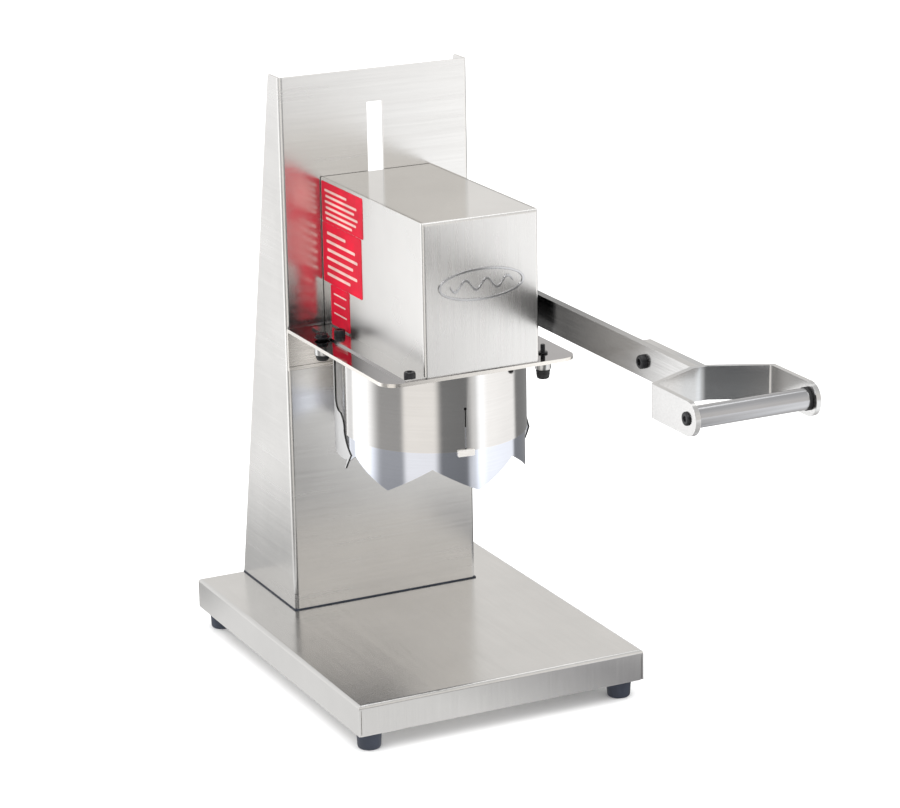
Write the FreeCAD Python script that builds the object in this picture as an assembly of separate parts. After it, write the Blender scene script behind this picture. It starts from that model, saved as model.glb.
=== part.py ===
"""Bench-top crown punch can opener, millimetres, +Z up.

A bent steel column stands on a flat pan with four rubber feet. A gear head slides up and down the
column's front face and is clamped from behind. The side lever turns a pinion, the pinion drives a
rack, and the rack carries a crown-shaped ring knife through a fixed sleeve into the top of a can.

Everything is drawn with y = 0 on the column's front face, the operator's side being -Y, and z = 0 on
the bench. Each solid is then moved along Y so that the origin is the centre of the whole footprint.
The lever is drawn at the bottom of its stroke, with the knife out.
"""

import FreeCAD, Part
import math
import os

V = FreeCAD.Vector
X_AXIS, Y_AXIS, Z_AXIS = V(1, 0, 0), V(0, 1, 0), V(0, 0, 1)

# Base pan and feet
base_width = 252.0
base_ahead = 217.6
base_behind = 113.4
base_bottom = 16.0
base_height = 25.4
base_sheet = 2.0
base_bend = 3.0
base_top = base_bottom + base_height
foot_inset = 14.8
foot_radius = 10.5
foot_plate_size = 34.0
foot_plate_thick = 3.0
foot_height = 14.8

# Column
column_width = 168.0
column_top = 492.0
column_sheet = 2.5
column_bend = 3.5
gasket_thick = 1.0
side_depth_low = 111.4
side_depth_top = 21.0
slot_half = 7.0
slot_low = 220.0
slot_high = 465.0
flange_width = 28.0

# Head plate, cover and frame
plate_top = 286.1
plate_thick = 3.0
plate_half = 84.0
plate_ahead = 190.0
plate_corner = 14.0
slide_gap = 0.3
cover_half = 49.7
cover_ahead = 188.2
cover_top = 408.3
cover_sheet = 1.5
cover_bend = 2.5
cover_flange = 66.5
rear_flange_low = 250.4
back_plate_thick = 6.0
frame_inner = 36.0
frame_thick = 6.0

# Punch
punch_ahead = 101.6
sleeve_radius = 73.6
sleeve_sheet = 1.2
sleeve_bottom = 218.0
knife_radius = 72.0
knife_sheet = 2.5
knife_tip = 183.9
knife_valley = 203.9
knife_top = 237.4
tooth_count = 6
first_valley_deg = 2.0
guide_radius = 80.6
guide_sheet = 1.6
guide_bottom = 202.4
ear_radius = 91.8
ear_deg = (313.3, 141.5)
seam_deg = 263.0
seam_width = 0.9
seam_top = 252.6

# Rack, pinion and shaft
module = 3.0
pinion_teeth = 16
pressure_angle = math.radians(20)
backlash = 0.16
pinion_half = 11.0
ram_half = 12.0
pitch_radius = module * pinion_teeth / 2
pivot_y = -punch_ahead + ram_half - module + pitch_radius
pivot_z = 323.4
shaft_radius = 10.0
bush_radius = 13.0
running_gap = 0.05

# Lever and grip
lever_inner = 56.0
lever_thick = 6.35
lever_height = 25.4
lever_end_ahead = 408.0
eye_radius = 19.0
square_half = 7.5
fork_sheet = 4.0
fork_width = 102.0
fork_flat = 14.0
fork_corner_ahead = 430.0
grip_ahead = 480.0
grip_radius = 7.95
fork_bolt_ahead = 341.0
stem_start_ahead = 329.0

# Clamp
stud_z = 343.0
stud_radius = 5.0
key_low, key_high = 296.0, 390.0
knob_radius = 26.0

footprint_ahead = grip_ahead + lever_height / 2
column_face_y = (footprint_ahead - base_behind) / 2
plate_bottom = plate_top - plate_thick
lever_outer = lever_inner + lever_thick
punch_axis = V(0, -punch_ahead, 0)
pivot = V(0, pivot_y, pivot_z)


# ---------------------------------------------------------------- shape helpers
def box(x0, x1, y0, y1, z0, z1):
    return Part.makeBox(x1 - x0, y1 - y0, z1 - z0, V(x0, y0, z0))


def rod(radius, start, end):
    along = end - start
    return Part.makeCylinder(radius, along.Length, start, along)


def cone(radius0, radius1, start, end):
    along = end - start
    return Part.makeCone(radius0, radius1, along.Length, start, along)


def tube(outer, inner, start, end):
    return rod(outer, start, end).cut(rod(inner, start, end))


def joined(*shapes):
    result = shapes[0]
    for shape in shapes[1:]:
        result = result.fuse(shape)
    return result.removeSplitter()


def prism(points, along):
    wire = Part.makePolygon(list(points) + [points[0]])
    return Part.Face(wire).extrude(along)


def hexagon(across_flats, height, start, axis):
    """A hexagonal prism that grows from start along axis."""
    corner = across_flats / math.sqrt(3)
    points = [V(corner * math.cos(math.radians(a)), corner * math.sin(math.radians(a)), 0)
              for a in range(0, 360, 60)]
    shape = prism(points, V(0, 0, height))
    shape.Placement = FreeCAD.Placement(start, FreeCAD.Rotation(Z_AXIS, axis))
    return shape


def on_circle(radius, degrees, z):
    """A point at that radius and angle about the punch axis."""
    angle = math.radians(degrees)
    return punch_axis + V(radius * math.cos(angle), radius * math.sin(angle), z)


def mirrored(shape):
    return shape.mirror(V(0, 0, 0), X_AXIS)


def edges_where(shape, test):
    return [edge for edge in shape.Edges if test(edge)]


def is_line_along(edge, axis):
    if not isinstance(edge.Curve, Part.Line) or len(edge.Vertexes) != 2:
        return False
    direction = edge.Vertexes[1].Point - edge.Vertexes[0].Point
    return abs(abs(direction.dot(axis)) - direction.Length) < 1e-6


def middle(edge):
    return edge.BoundBox.Center


def cap_screw(start, axis, radius, length, head_radius, head_height, socket):
    """A socket-head screw: the head's underside is at start, the shank runs along axis."""
    shank = rod(radius, start, start + axis * length)
    head = rod(head_radius, start - axis * head_height, start)
    top = start - axis * head_height
    return joined(shank, head).cut(hexagon(socket, head_height * 0.55, top, axis))


def flat_screw(start, axis, radius, length, head_radius):
    """A countersunk screw whose flat head ends at start, with its shank along axis."""
    depth = head_radius - radius
    head = cone(head_radius, radius, start, start + axis * depth)
    shank = rod(radius, start + axis * depth, start + axis * length)
    return joined(head, shank).cut(hexagon(radius * 1.1, depth * 0.8, start, axis))


# ---------------------------------------------------------------- base
def base_pan():
    half = base_width / 2
    outer = box(-half, half, -base_ahead, base_behind, base_bottom, base_top)
    top_edges = edges_where(outer, lambda e: abs(e.BoundBox.ZMin - base_top) < 1e-6)
    outer = outer.makeFillet(base_bend, top_edges)
    t = base_sheet
    inner = box(-half + t, half - t, -base_ahead + t, base_behind - t, base_bottom - 1, base_top - t)
    inner_edges = edges_where(inner, lambda e: abs(e.BoundBox.ZMin - (base_top - t)) < 1e-6)
    pan = outer.cut(inner.makeFillet(base_bend - t, inner_edges))
    seam = 0.7
    seam_top = base_top - base_bend - 1
    for side in (-1, 1):
        for y in (-base_ahead, base_behind):
            inward = 1 if y < 0 else -1
            x0 = side * (half - t) - seam / 2
            pan = pan.cut(box(x0, x0 + seam, min(y, y + inward * (t + 0.5)) - 0.5,
                              max(y, y + inward * (t + 0.5)), base_bottom - 1, seam_top))
    for x, y in column_bolt_places():
        pan = pan.cut(rod(3.2, V(x, y, base_top - 5), V(x, y, base_top + 1)))
    return pan


def foot_places():
    x = base_width / 2 - foot_inset
    return {
        "foot_front_left": (-x, -base_ahead + foot_inset),
        "foot_front_right": (x, -base_ahead + foot_inset),
        "foot_rear_left": (-x, base_behind - foot_inset),
        "foot_rear_right": (x, base_behind - foot_inset),
    }


def foot_plates():
    """Corner plates welded inside the skirt, a little prouder than its lower edge."""
    plates = []
    reach = base_width / 2 - base_sheet - 0.1
    for x, y in foot_places().values():
        sx, sy = (1 if x > 0 else -1), (1 if y > 0 else -1)
        edge_y = (base_behind if y > 0 else -base_ahead) - sy * (base_sheet + 0.1)
        x1, y1 = sx * reach, edge_y
        x0, y0 = x1 - sx * foot_plate_size, y1 - sy * foot_plate_size
        cut = foot_plate_size * 0.45
        points = [V(x1, y1, foot_height), V(x0, y1, foot_height),
                  V(x0, y0 + sy * cut, foot_height), V(x0 + sx * cut, y0, foot_height),
                  V(x1, y0, foot_height)]
        plate = prism(points, V(0, 0, foot_plate_thick))
        plates.append(plate.cut(rod(2.55, V(x, y, 0), V(x, y, 40))))
    return plates


def foot(x, y):
    """A round rubber bumper with a soft lower edge and a recess for its screw."""
    body = cone(foot_radius - 1.2, foot_radius, V(x, y, 0), V(x, y, foot_height))
    low = edges_where(body, lambda e: e.BoundBox.ZMax < 0.1)
    body = body.makeFillet(2.0, low)
    body = body.cut(rod(4.6, V(x, y, -1), V(x, y, 7)))
    return body.cut(rod(2.55, V(x, y, 0), V(x, y, foot_height + 1)))


def foot_screws():
    return [cap_screw(V(x, y, 7), Z_AXIS, 2.5, 13, 4.4, 3.2, 3.0) for x, y in foot_places().values()]


# ---------------------------------------------------------------- column
def column_bolt_places():
    x = column_width / 2 - flange_width / 2 - 2
    return [(side * x, y) for side in (-1, 1) for y in (24.0, 90.0)]


def side_rear(z):
    """How far behind the front face the tapered side reaches at a height."""
    low = base_top + gasket_thick
    share = (z - low) / (column_top - low)
    return side_depth_low + (side_depth_top - side_depth_low) * share


def column():
    half, t, low = column_width / 2, column_sheet, base_top + gasket_thick
    outline = [V(-half, 0, low), V(-half, side_depth_low, low),
               V(-half, side_depth_top, column_top), V(-half, 0, column_top)]
    body = prism(outline, V(column_width, 0, 0))
    front = edges_where(body, lambda e: is_line_along(e, Z_AXIS) and abs(middle(e).y) < 1e-6)
    body = body.makeFillet(column_bend, front)
    behind = 60.0
    hollow = prism([V(-half + t, t, low - 1), V(-half + t, side_depth_low + behind, low - 1),
                    V(-half + t, side_depth_top + behind, column_top + 1),
                    V(-half + t, t, column_top + 1)], V(column_width - 2 * t, 0, 0))
    inside = edges_where(hollow, lambda e: is_line_along(e, Z_AXIS) and abs(middle(e).y - t) < 1e-6)
    body = body.cut(hollow.makeFillet(column_bend - t, inside))
    flange = box(-half + t / 2, -half + flange_width, t / 2, side_rear(low + t) - 0.5, low, low + t)
    foot_front = box(-half + t, half - t, t / 2, flange_width - 6, low, low + t)
    for x, y in column_bolt_places():
        flange = flange.cut(rod(3.2, V(x, y, low - 1), V(x, y, low + t + 1)))
        foot_front = foot_front.cut(rod(3.2, V(x, y, low - 1), V(x, y, low + t + 1)))
    body = joined(body, flange, mirrored(flange), foot_front)
    body = body.cut(box(-slot_half, slot_half, -1, t + 1, slot_low, slot_high))
    for x, y in column_bolt_places():
        body = body.cut(rod(3.2, V(x, y, low - 1), V(x, y, low + t + 1)))
    return body


def column_gasket():
    """A thin black gasket, a hair wider than the column's foot."""
    half, proud = column_width / 2 + 0.4, 0.4
    ring = box(-half, half, -proud, side_depth_low, base_top, base_top + gasket_thick)
    inner = column_width / 2 - flange_width
    ring = ring.cut(box(-inner, inner, flange_width - 6, side_depth_low + 1,
                        base_top - 1, base_top + gasket_thick + 1))
    for x, y in column_bolt_places():
        ring = ring.cut(rod(3.2, V(x, y, base_top - 1), V(x, y, base_top + 3)))
    return ring


def column_bolts():
    """Bolts with washers, and their nuts below the pan."""
    seat = base_top + gasket_thick + column_sheet
    under = base_top - base_sheet
    bolts = []
    for x, y in column_bolt_places():
        head = hexagon(10, 4.2, V(x, y, seat + 1.2), Z_AXIS)
        washer = rod(6.2, V(x, y, seat), V(x, y, seat + 1.2))
        bolts.append(joined(head, washer, rod(3.0, V(x, y, seat - 16), V(x, y, seat + 0.5))))
        nut = hexagon(10, 5, V(x, y, under - 5), Z_AXIS)
        bolts.append(nut.cut(rod(3.05, V(x, y, under - 6), V(x, y, under))))
    return bolts


# ---------------------------------------------------------------- head structure
hem_proud = 0.7
hem_height = 3.6


def head_plate():
    """Bright plate with rounded front corners and a hemmed rear flange turned down along the column."""
    plate = box(-plate_half, plate_half, -plate_ahead, -slide_gap, plate_bottom, plate_top)
    front = edges_where(plate, lambda e: is_line_along(e, Z_AXIS) and middle(e).y < -plate_ahead + 1)
    plate = plate.makeFillet(plate_corner, front)
    flange = box(-plate_half, plate_half, -slide_gap - plate_thick, -slide_gap, rear_flange_low, plate_top)
    hem = box(-plate_half, plate_half, -slide_gap - plate_thick - hem_proud, -slide_gap - plate_thick,
              rear_flange_low, rear_flange_low + hem_height)
    flange = joined(flange, hem)
    low = edges_where(flange, lambda e: is_line_along(e, X_AXIS) and middle(e).z < rear_flange_low + 0.1)
    plate = joined(plate, flange.makeFillet(0.8, low))
    bend = edges_where(plate, lambda e: is_line_along(e, X_AXIS) and middle(e).y > -slide_gap - 0.1
                       and middle(e).z > plate_top - 0.1)
    plate = plate.makeFillet(2.5, bend)
    window = ram_half + 0.5
    plate = plate.cut(box(-window, window, -punch_ahead - window, -punch_ahead + window,
                          plate_bottom - 1, plate_top + 1))
    holes = [(on_circle(ear_radius, a, 0), 3.05) for a in ear_deg]
    holes += [(place, 2.55) for place in cover_screw_places()]
    holes += [(on_circle(guide_tab_radius, a, 0), 2.05) for a in guide_tab_deg]
    holes += [(V(x, y, 0), 2.55) for x, y in frame_foot_places() + keeper_places()]
    for place, radius in holes:
        plate = plate.cut(rod(radius, place + V(0, 0, plate_bottom - 1), place + V(0, 0, plate_top + 1)))
    for x, y in frame_foot_places() + keeper_places():
        plate = plate.cut(cone(4.6, 2.55, V(x, y, plate_bottom), V(x, y, plate_bottom + 2.05)))
    return plate


def back_plate():
    half = cover_half - cover_sheet - 0.2
    top = cover_top - cover_sheet - 1
    plate = box(-half, half, -slide_gap - back_plate_thick, -slide_gap, plate_top, top)
    stud = V(0, 0, stud_z)
    plate = plate.cut(rod(stud_radius + 0.05, stud + V(0, -20, 0), stud + V(0, 5, 0)))
    for x, z in frame_rear_places():
        plate = plate.cut(rod(2.55, V(x, -20, z), V(x, 5, z)))
        plate = plate.cut(cone(4.6, 2.55, V(x, -slide_gap, z), V(x, -slide_gap - 2.05, z)))
    for z in key_screw_heights():
        plate = plate.cut(rod(2.05, V(0, -20, z), V(0, 5, z)))
    return plate


def key_screw_heights():
    return [key_low + 14, key_high - 14]


def slide_key():
    """The block that keeps the head square to the slot. It stays inside the sheet's thickness."""
    key = box(-slot_half + 0.2, slot_half - 0.2, -slide_gap, column_sheet - 0.1, key_low, key_high)
    key = key.makeFillet(2.5, edges_where(key, lambda e: is_line_along(e, Y_AXIS)))
    key = key.cut(rod(stud_radius + 0.05, V(0, -5, stud_z), V(0, 10, stud_z)))
    for z in key_screw_heights():
        key = key.cut(rod(2.05, V(0, -5, z), V(0, 1.2, z)))
    return key


def key_screws():
    seat = -slide_gap - back_plate_thick
    return [cap_screw(V(0, seat, z), Y_AXIS, 2.0, back_plate_thick + 1.2, 3.5, 4.0, 3.0)
            for z in key_screw_heights()]


frame_rear = -slide_gap - back_plate_thick
frame_front = -140.0
frame_top = 386.0


def side_frame():
    """The right-hand frame plate: it carries a bush and stands on the head plate."""
    points = [V(frame_inner, frame_rear, plate_top), V(frame_inner, frame_front, plate_top),
              V(frame_inner, frame_front, 362), V(frame_inner, frame_front + 26, frame_top),
              V(frame_inner, frame_rear, frame_top)]
    plate = prism(points, V(frame_thick, 0, 0))
    plate = plate.cut(rod(bush_radius, pivot, pivot + V(60, 0, 0)))
    window = rod(15, V(frame_inner - 1, -32, 318), V(frame_inner + frame_thick + 1, -32, 318))
    plate = plate.cut(window)
    for y, z in guide_bolt_places():
        plate = plate.cut(rod(3.05, V(frame_inner - 1, y, z), V(frame_inner + frame_thick + 1, y, z)))
    for x, z in frame_rear_places():
        if x > 0:
            plate = plate.cut(rod(2.5, V(x, frame_rear + 1, z), V(x, frame_rear - 14, z)))
    for x, y in frame_foot_places():
        if x > 0:
            plate = plate.cut(rod(2.5, V(x, y, plate_top - 1), V(x, y, plate_top + 12)))
    return plate


def frame_rear_places():
    x = frame_inner + frame_thick / 2
    return [(side * x, z) for side in (-1, 1) for z in (300.0, 374.0)]


def frame_foot_places():
    x = frame_inner + frame_thick / 2
    return [(side * x, y) for side in (-1, 1) for y in (-64.0, -128.0)]


def frame_screws():
    """Countersunk screws: through the back plate, and up through the head plate."""
    rear = [flat_screw(V(x, -slide_gap, z), V(0, -1, 0), 2.5, 18, 4.55) for x, z in frame_rear_places()]
    feet = [flat_screw(V(x, y, plate_bottom), Z_AXIS, 2.5, 13, 4.55) for x, y in frame_foot_places()]
    keeper = [flat_screw(V(x, y, plate_bottom), Z_AXIS, 2.5, 10.5, 4.55) for x, y in keeper_places()]
    return rear + feet + keeper


def bushing():
    """Flanged bronze bush in the right-hand frame plate; the flange is on the inside."""
    flange = 2.0
    sleeve = tube(bush_radius, shaft_radius + running_gap, pivot + V(frame_inner, 0, 0),
                  pivot + V(frame_inner + frame_thick, 0, 0))
    rim = tube(bush_radius + 3, shaft_radius + running_gap, pivot + V(frame_inner - flange, 0, 0),
               pivot + V(frame_inner, 0, 0))
    return joined(sleeve, rim)


guide_front = -136.0
guide_rear = -90.0
guide_top = 359.4


def guide_bolt_places():
    return [(-127.0, 300.0), (-127.0, 346.0)]


def ram_guide():
    """The block that the rack slides in, open behind it for the pinion."""
    half, slide = frame_inner - 0.05, ram_half + 0.1
    block = box(-half, half, guide_front, guide_rear, plate_top, guide_top)
    block = block.cut(box(-slide, slide, -punch_ahead - slide, guide_rear + 1, plate_top - 1, guide_top + 1))
    for side in (-1, 1):
        block = block.cut(rod(bush_radius + 3.5, V(side * (half + 1), pivot_y, pivot_z),
                              V(side * (frame_inner - 3), pivot_y, pivot_z)))
    for y, z in guide_bolt_places():
        for side in (-1, 1):
            block = block.cut(rod(3.0, V(side * (half + 1), y, z), V(side * (half - 14), y, z)))
    return block


def guide_bolts():
    bolts = []
    for y, z in guide_bolt_places():
        for side in (-1, 1):
            seat = V(side * (frame_inner + frame_thick), y, z)
            bolts.append(cap_screw(seat, V(-side, 0, 0), 3.0, 19, 5.0, 4.6, 5.0))
    return bolts


keeper_front = -punch_ahead + ram_half + 0.1
keeper_height = 9.0


def keeper_places():
    return [(-22.0, keeper_front + 6), (22.0, keeper_front + 6)]


def guide_keeper():
    block = box(-32, 32, keeper_front, keeper_front + 12, plate_top, plate_top + keeper_height)
    for x, y in keeper_places():
        block = block.cut(rod(2.5, V(x, y, plate_top - 1), V(x, y, plate_top + 8)))
    return block


# ---------------------------------------------------------------- sleeve and can guide
def ear(degrees, inner, outer, width, z0, z1, hole, hole_radius):
    """A flat lug that points away from the punch axis, rounded at its far end."""
    lug = box(inner, hole, -width / 2, width / 2, z0, z1)
    lug = lug.fuse(rod(width / 2, V(hole, 0, z0), V(hole, 0, z1)))
    lug = lug.common(box(inner, outer, -width, width, z0 - 1, z1 + 1))
    lug = lug.cut(rod(hole_radius, V(hole, 0, z0 - 1), V(hole, 0, z1 + 1)))
    lug.rotate(V(0, 0, 0), Z_AXIS, degrees)
    lug.translate(punch_axis)
    return lug


ear_thick = 3.0


def punch_sleeve():
    """The fixed guard that the ring knife slides in. It strips the can off the knife."""
    low, high = V(0, 0, sleeve_bottom), V(0, 0, plate_bottom)
    inner = sleeve_radius - sleeve_sheet
    wall = tube(sleeve_radius, inner, punch_axis + low, punch_axis + high)
    rim = tube(sleeve_radius - 0.5, 64.5, punch_axis + high - V(0, 0, 2), punch_axis + high)
    body = joined(wall, rim)
    for degrees in ear_deg:
        body = body.fuse(ear(degrees, inner + 0.4, ear_radius + 10, 13, plate_bottom - ear_thick,
                             plate_bottom, ear_radius, 3.05))
    seam = box(60, 80, -seam_width / 2, seam_width / 2, sleeve_bottom - 1, seam_top)
    seam = seam.fuse(rod(1.2, V(60, 0, seam_top), V(80, 0, seam_top)))
    seam.rotate(V(0, 0, 0), Z_AXIS, seam_deg)
    seam.translate(punch_axis)
    return body.cut(seam).removeSplitter()


def sleeve_strap():
    """A short strap across the open lower end of the sleeve's seam."""
    strap = box(sleeve_radius - 0.6, sleeve_radius + 1.3, -7, 7, sleeve_bottom - 3.8, sleeve_bottom + 1.6)
    strap = strap.makeFillet(1.0, edges_where(strap, lambda e: is_line_along(e, X_AXIS)))
    strap.rotate(V(0, 0, 0), Z_AXIS, seam_deg)
    strap.translate(punch_axis)
    return strap.cut(rod(sleeve_radius, punch_axis + V(0, 0, sleeve_bottom - 5),
                         punch_axis + V(0, 0, sleeve_bottom + 5)))


stud_collar_height = 1.4
stud_thread_height = (7.4, 5.4)
cap_low_end = (265.5, 268.5)
ear_nut_height = 7.0


def ear_studs():
    """Collared studs that hold the sleeve's ears under the head plate; the top end is a thin thread."""
    studs = []
    for degrees, thread_height, cap_low in zip(ear_deg, stud_thread_height, cap_low_end):
        at = on_circle(ear_radius, degrees, 0)
        shank = rod(3.0, at + V(0, 0, cap_low + 4), at + V(0, 0, plate_top))
        collar = rod(3.9, at + V(0, 0, plate_top), at + V(0, 0, plate_top + stud_collar_height))
        thread = rod(2.0, at + V(0, 0, plate_top), at + V(0, 0, plate_top + thread_height))
        tip = edges_where(thread, lambda e: isinstance(e.Curve, Part.Circle) and middle(e).z > plate_top + 4)
        studs.append(joined(shank, collar, thread.makeChamfer(0.4, tip)))
    return studs


def ear_nuts():
    """Round nuts screwed up against the ears."""
    foot_z = plate_bottom - ear_thick
    nuts = []
    for degrees in ear_deg:
        at = on_circle(ear_radius, degrees, 0)
        nut = rod(6.4, at + V(0, 0, foot_z - ear_nut_height), at + V(0, 0, foot_z))
        nut = nut.makeChamfer(0.5, edges_where(nut, lambda e: isinstance(e.Curve, Part.Circle)))
        nuts.append(nut.cut(rod(3.0, at + V(0, 0, foot_z - ear_nut_height - 1), at + V(0, 0, foot_z + 1))))
    return nuts


def ear_caps():
    """Soft black caps over the lower ends of the studs."""
    top = plate_bottom - ear_thick - ear_nut_height
    caps = []
    for degrees, low in zip(ear_deg, cap_low_end):
        at = on_circle(ear_radius, degrees, 0)
        cap = cone(5.0, 5.8, at + V(0, 0, low), at + V(0, 0, top))
        cap = cap.makeFillet(1.5, edges_where(cap, lambda e: e.BoundBox.ZMax < low + 0.1))
        caps.append(cap.cut(rod(3.0, at + V(0, 0, low + 4), at + V(0, 0, top + 1))))
    return caps


def ear_lock_nut():
    """Thin black lock nut with a washer face on the left-hand stud, above the plate."""
    at = on_circle(ear_radius, ear_deg[1], 0)
    seat = at + V(0, 0, plate_top + stud_collar_height)
    nut = joined(rod(6.3, seat, seat + V(0, 0, 1.0)), hexagon(9, 2.4, seat + V(0, 0, 1.0), Z_AXIS))
    return nut.cut(rod(2.0, seat - V(0, 0, 1), seat + V(0, 0, 6)))


def guide_lobe():
    """Side outline of the guide's forward end: an S-shaped edge, a pointed tip and a small hook."""
    ahead = -punch_ahead

    def at(y, z):
        return V(-100, ahead + y, guide_bottom + z)

    shoulder, neck, brow = at(22.6, 43.6), at(7.6, 36.6), at(0.3, 23.6)
    tip, hook = at(-10.4, 5.6), at(-1.4, -7.4)
    root, heel = at(-4.4, 1.2), at(1.6, 0)
    rear_low, rear_high = at(24.6, 0), at(24.6, 43.6)
    return Part.Wire([
        Part.makeLine(rear_low, rear_high), Part.makeLine(rear_high, shoulder),
        Part.Arc(shoulder, at(16.1, 38.1), neck).toShape(),
        Part.Arc(neck, at(2.2, 32.2), brow).toShape(),
        Part.Arc(brow, at(-3.1, 15.0), tip).toShape(),
        Part.Arc(tip, at(-6.6, 0.1), hook).toShape(),
        Part.makeLine(hook, at(-0.6, -6.3)),
        Part.Arc(at(-0.6, -6.3), at(-3.3, -2.6), root).toShape(),
        Part.Arc(root, at(-1.6, 0.3), heel).toShape(),
        Part.makeLine(heel, rear_low),
    ])


guide_tab_radius = 90.0
guide_tab_deg = (75.0, 105.0)
guide_tab_width = 13.0


def can_guide():
    """A curved stop behind the sleeve that centres the can under the knife."""
    top = plate_bottom
    ring = tube(guide_radius, guide_radius - guide_sheet, punch_axis + V(0, 0, guide_bottom - 10),
                punch_axis + V(0, 0, top))
    shoulder_y = -punch_ahead + 22.6
    wall = ring.common(box(-100, 100, shoulder_y, 0, guide_bottom, top))
    wall = wall.fuse(ring.common(Part.Face(guide_lobe()).extrude(V(200, 0, 0))))
    for degrees in ear_deg:
        notch = box(70, 90, -8.2, 8.2, top - ear_thick - 0.6, top + 1)
        notch.rotate(V(0, 0, 0), Z_AXIS, degrees)
        notch.translate(punch_axis)
        wall = wall.cut(notch)
    for degrees in guide_tab_deg:
        wall = wall.fuse(ear(degrees, guide_radius - guide_sheet + 0.3, guide_tab_radius + 8, guide_tab_width,
                             top - guide_sheet, top, guide_tab_radius, 2.05))
    return wall.removeSplitter()


def can_guide_screws():
    """Two screws down through the head plate into nuts under the guide's tabs."""
    fixings = []
    for degrees in guide_tab_deg:
        seat = on_circle(guide_tab_radius, degrees, plate_top)
        under = on_circle(guide_tab_radius, degrees, plate_bottom - guide_sheet)
        fixings.append(cap_screw(seat, V(0, 0, -1), 2.0, plate_thick + guide_sheet + 5.0, 3.5, 4.0, 3.0))
        nut = hexagon(7, 3.2, under, V(0, 0, -1))
        fixings.append(nut.cut(rod(2.0, under - V(0, 0, 6), under + V(0, 0, 1))))
    return fixings


# ---------------------------------------------------------------- cover
def cover_screw_places():
    """Left front, left rear, right rear and right front, clear of the sleeve's studs."""
    return [V(-60.5, -184, 0), V(-57, -46, 0), V(57, -46, 0), V(57, -135, 0)]


def cover():
    """One folded sheet: front with a wing each side and one on top, open behind and below."""
    half, t, low = cover_half, cover_sheet, plate_top
    rear = -1.0
    body = box(-half, half, -cover_ahead, rear, low, cover_top)
    upright = edges_where(body, lambda e: is_line_along(e, Z_AXIS) and middle(e).y < -100)
    crown = edges_where(body, lambda e: is_line_along(e, X_AXIS) and middle(e).y < -100
                        and middle(e).z > cover_top - 1)
    body = body.makeFillet(cover_bend, upright + crown)
    inner = box(-half + t, half - t, -cover_ahead + t, rear + 1, low - 1, cover_top - t)
    upright = edges_where(inner, lambda e: is_line_along(e, Z_AXIS) and middle(e).y < -100)
    crown = edges_where(inner, lambda e: is_line_along(e, X_AXIS) and middle(e).y < -100
                        and middle(e).z > cover_top - t - 1)
    body = body.cut(inner.makeFillet(cover_bend - t, upright + crown))
    gap = 0.5
    for side in (-1, 1):
        x = side * (half - t - gap / 2)
        body = body.cut(box(x - gap / 2, x + gap / 2, -cover_ahead + cover_bend + 1.5, rear + 1,
                            cover_top - t - 1, cover_top + 1))
    body = body.cut(rod(bush_radius + 2, pivot + V(half - 3, 0, 0), pivot + V(half + 3, 0, 0)))
    left = box(-cover_flange, -half + t / 2, -cover_ahead + 0.5, -12.0, low, low + t)
    right = box(half - t / 2, cover_flange, -147.0, -12.0, low, low + t)
    body = joined(body, left, right)
    stud = on_circle(ear_radius, ear_deg[1], low)
    body = body.cut(rod(6.6, stud - V(0, 0, 1), stud + V(0, 0, 3)))
    for place in cover_screw_places():
        body = body.cut(rod(2.55, place + V(0, 0, low - 1), place + V(0, 0, low + 5)))
    return body


def cover_screws():
    """Black socket screws that hold the cover's flanges to the head plate."""
    seat = plate_top + cover_sheet
    length = seat - plate_bottom - 0.5
    return [cap_screw(place + V(0, 0, seat), V(0, 0, -1), 2.5, length, 4.6, 5.0, 4.0)
            for place in cover_screw_places()]


label_thick = 0.3


def label(ahead0, ahead1, z0, z1):
    sheet = box(-cover_half - label_thick, -cover_half, -ahead1, -ahead0, z0, z1)
    return sheet.makeFillet(1.5, edges_where(sheet, lambda e: is_line_along(e, X_AXIS)))


def side_labels():
    """Two large plain labels and a small one on the cover's left side."""
    return [label(2.0, 80.5, 372.7, 406.0), label(2.0, 76.5, 322.7, 372.3), label(15.0, 51.0, 289.0, 322.3)]


def front_badge():
    """A plain raised emblem: an oval rim round one smooth wave."""
    face_y, centre_z, proud = -cover_ahead, 355.4, 0.8
    wide, tall, rim = 37.0, 13.0, 2.2
    outer = Part.Face(Part.Wire(Part.Ellipse(V(0, 0, 0), wide, tall).toShape()))
    inner = Part.Face(Part.Wire(Part.Ellipse(V(0, 0, 0), wide - rim, tall - rim).toShape()))
    ring = outer.cut(inner).extrude(V(0, 0, proud))
    waves, half_length, depth, line, steps = 3, 27.0, 4.0, 2.4, 72
    crest = []
    for i in range(steps + 1):
        along = 2 * i / steps - 1
        crest.append(V(half_length * along, depth * math.sin(math.pi * waves * along) + line / 2, 0))
    under = [p - V(0, line, 0) for p in reversed(crest)]
    wave = prism(crest + under, V(0, 0, proud))
    pieces = []
    for piece in (ring, wave):
        piece.rotate(V(0, 0, 0), X_AXIS, 90)
        piece.translate(V(0, face_y, centre_z))
        pieces.append(piece)
    return pieces


# ---------------------------------------------------------------- clamp
bar_front = column_sheet + 0.3
bar_thick = 6.0
washer_thick = 2.0
washer_front = bar_front + bar_thick
knob_start = washer_front + washer_thick + 0.2


def clamp_stud():
    """Hexagon-headed stud from inside the head, through the slot, to the knob."""
    seat = -slide_gap - back_plate_thick
    head = hexagon(16, 6, V(0, seat - 6, stud_z), Y_AXIS)
    stud = joined(head, rod(stud_radius, V(0, seat - 1, stud_z), V(0, 38, stud_z)))
    end = edges_where(stud, lambda e: e.BoundBox.YMin > 37.9)
    return stud.makeChamfer(0.8, end)


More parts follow.
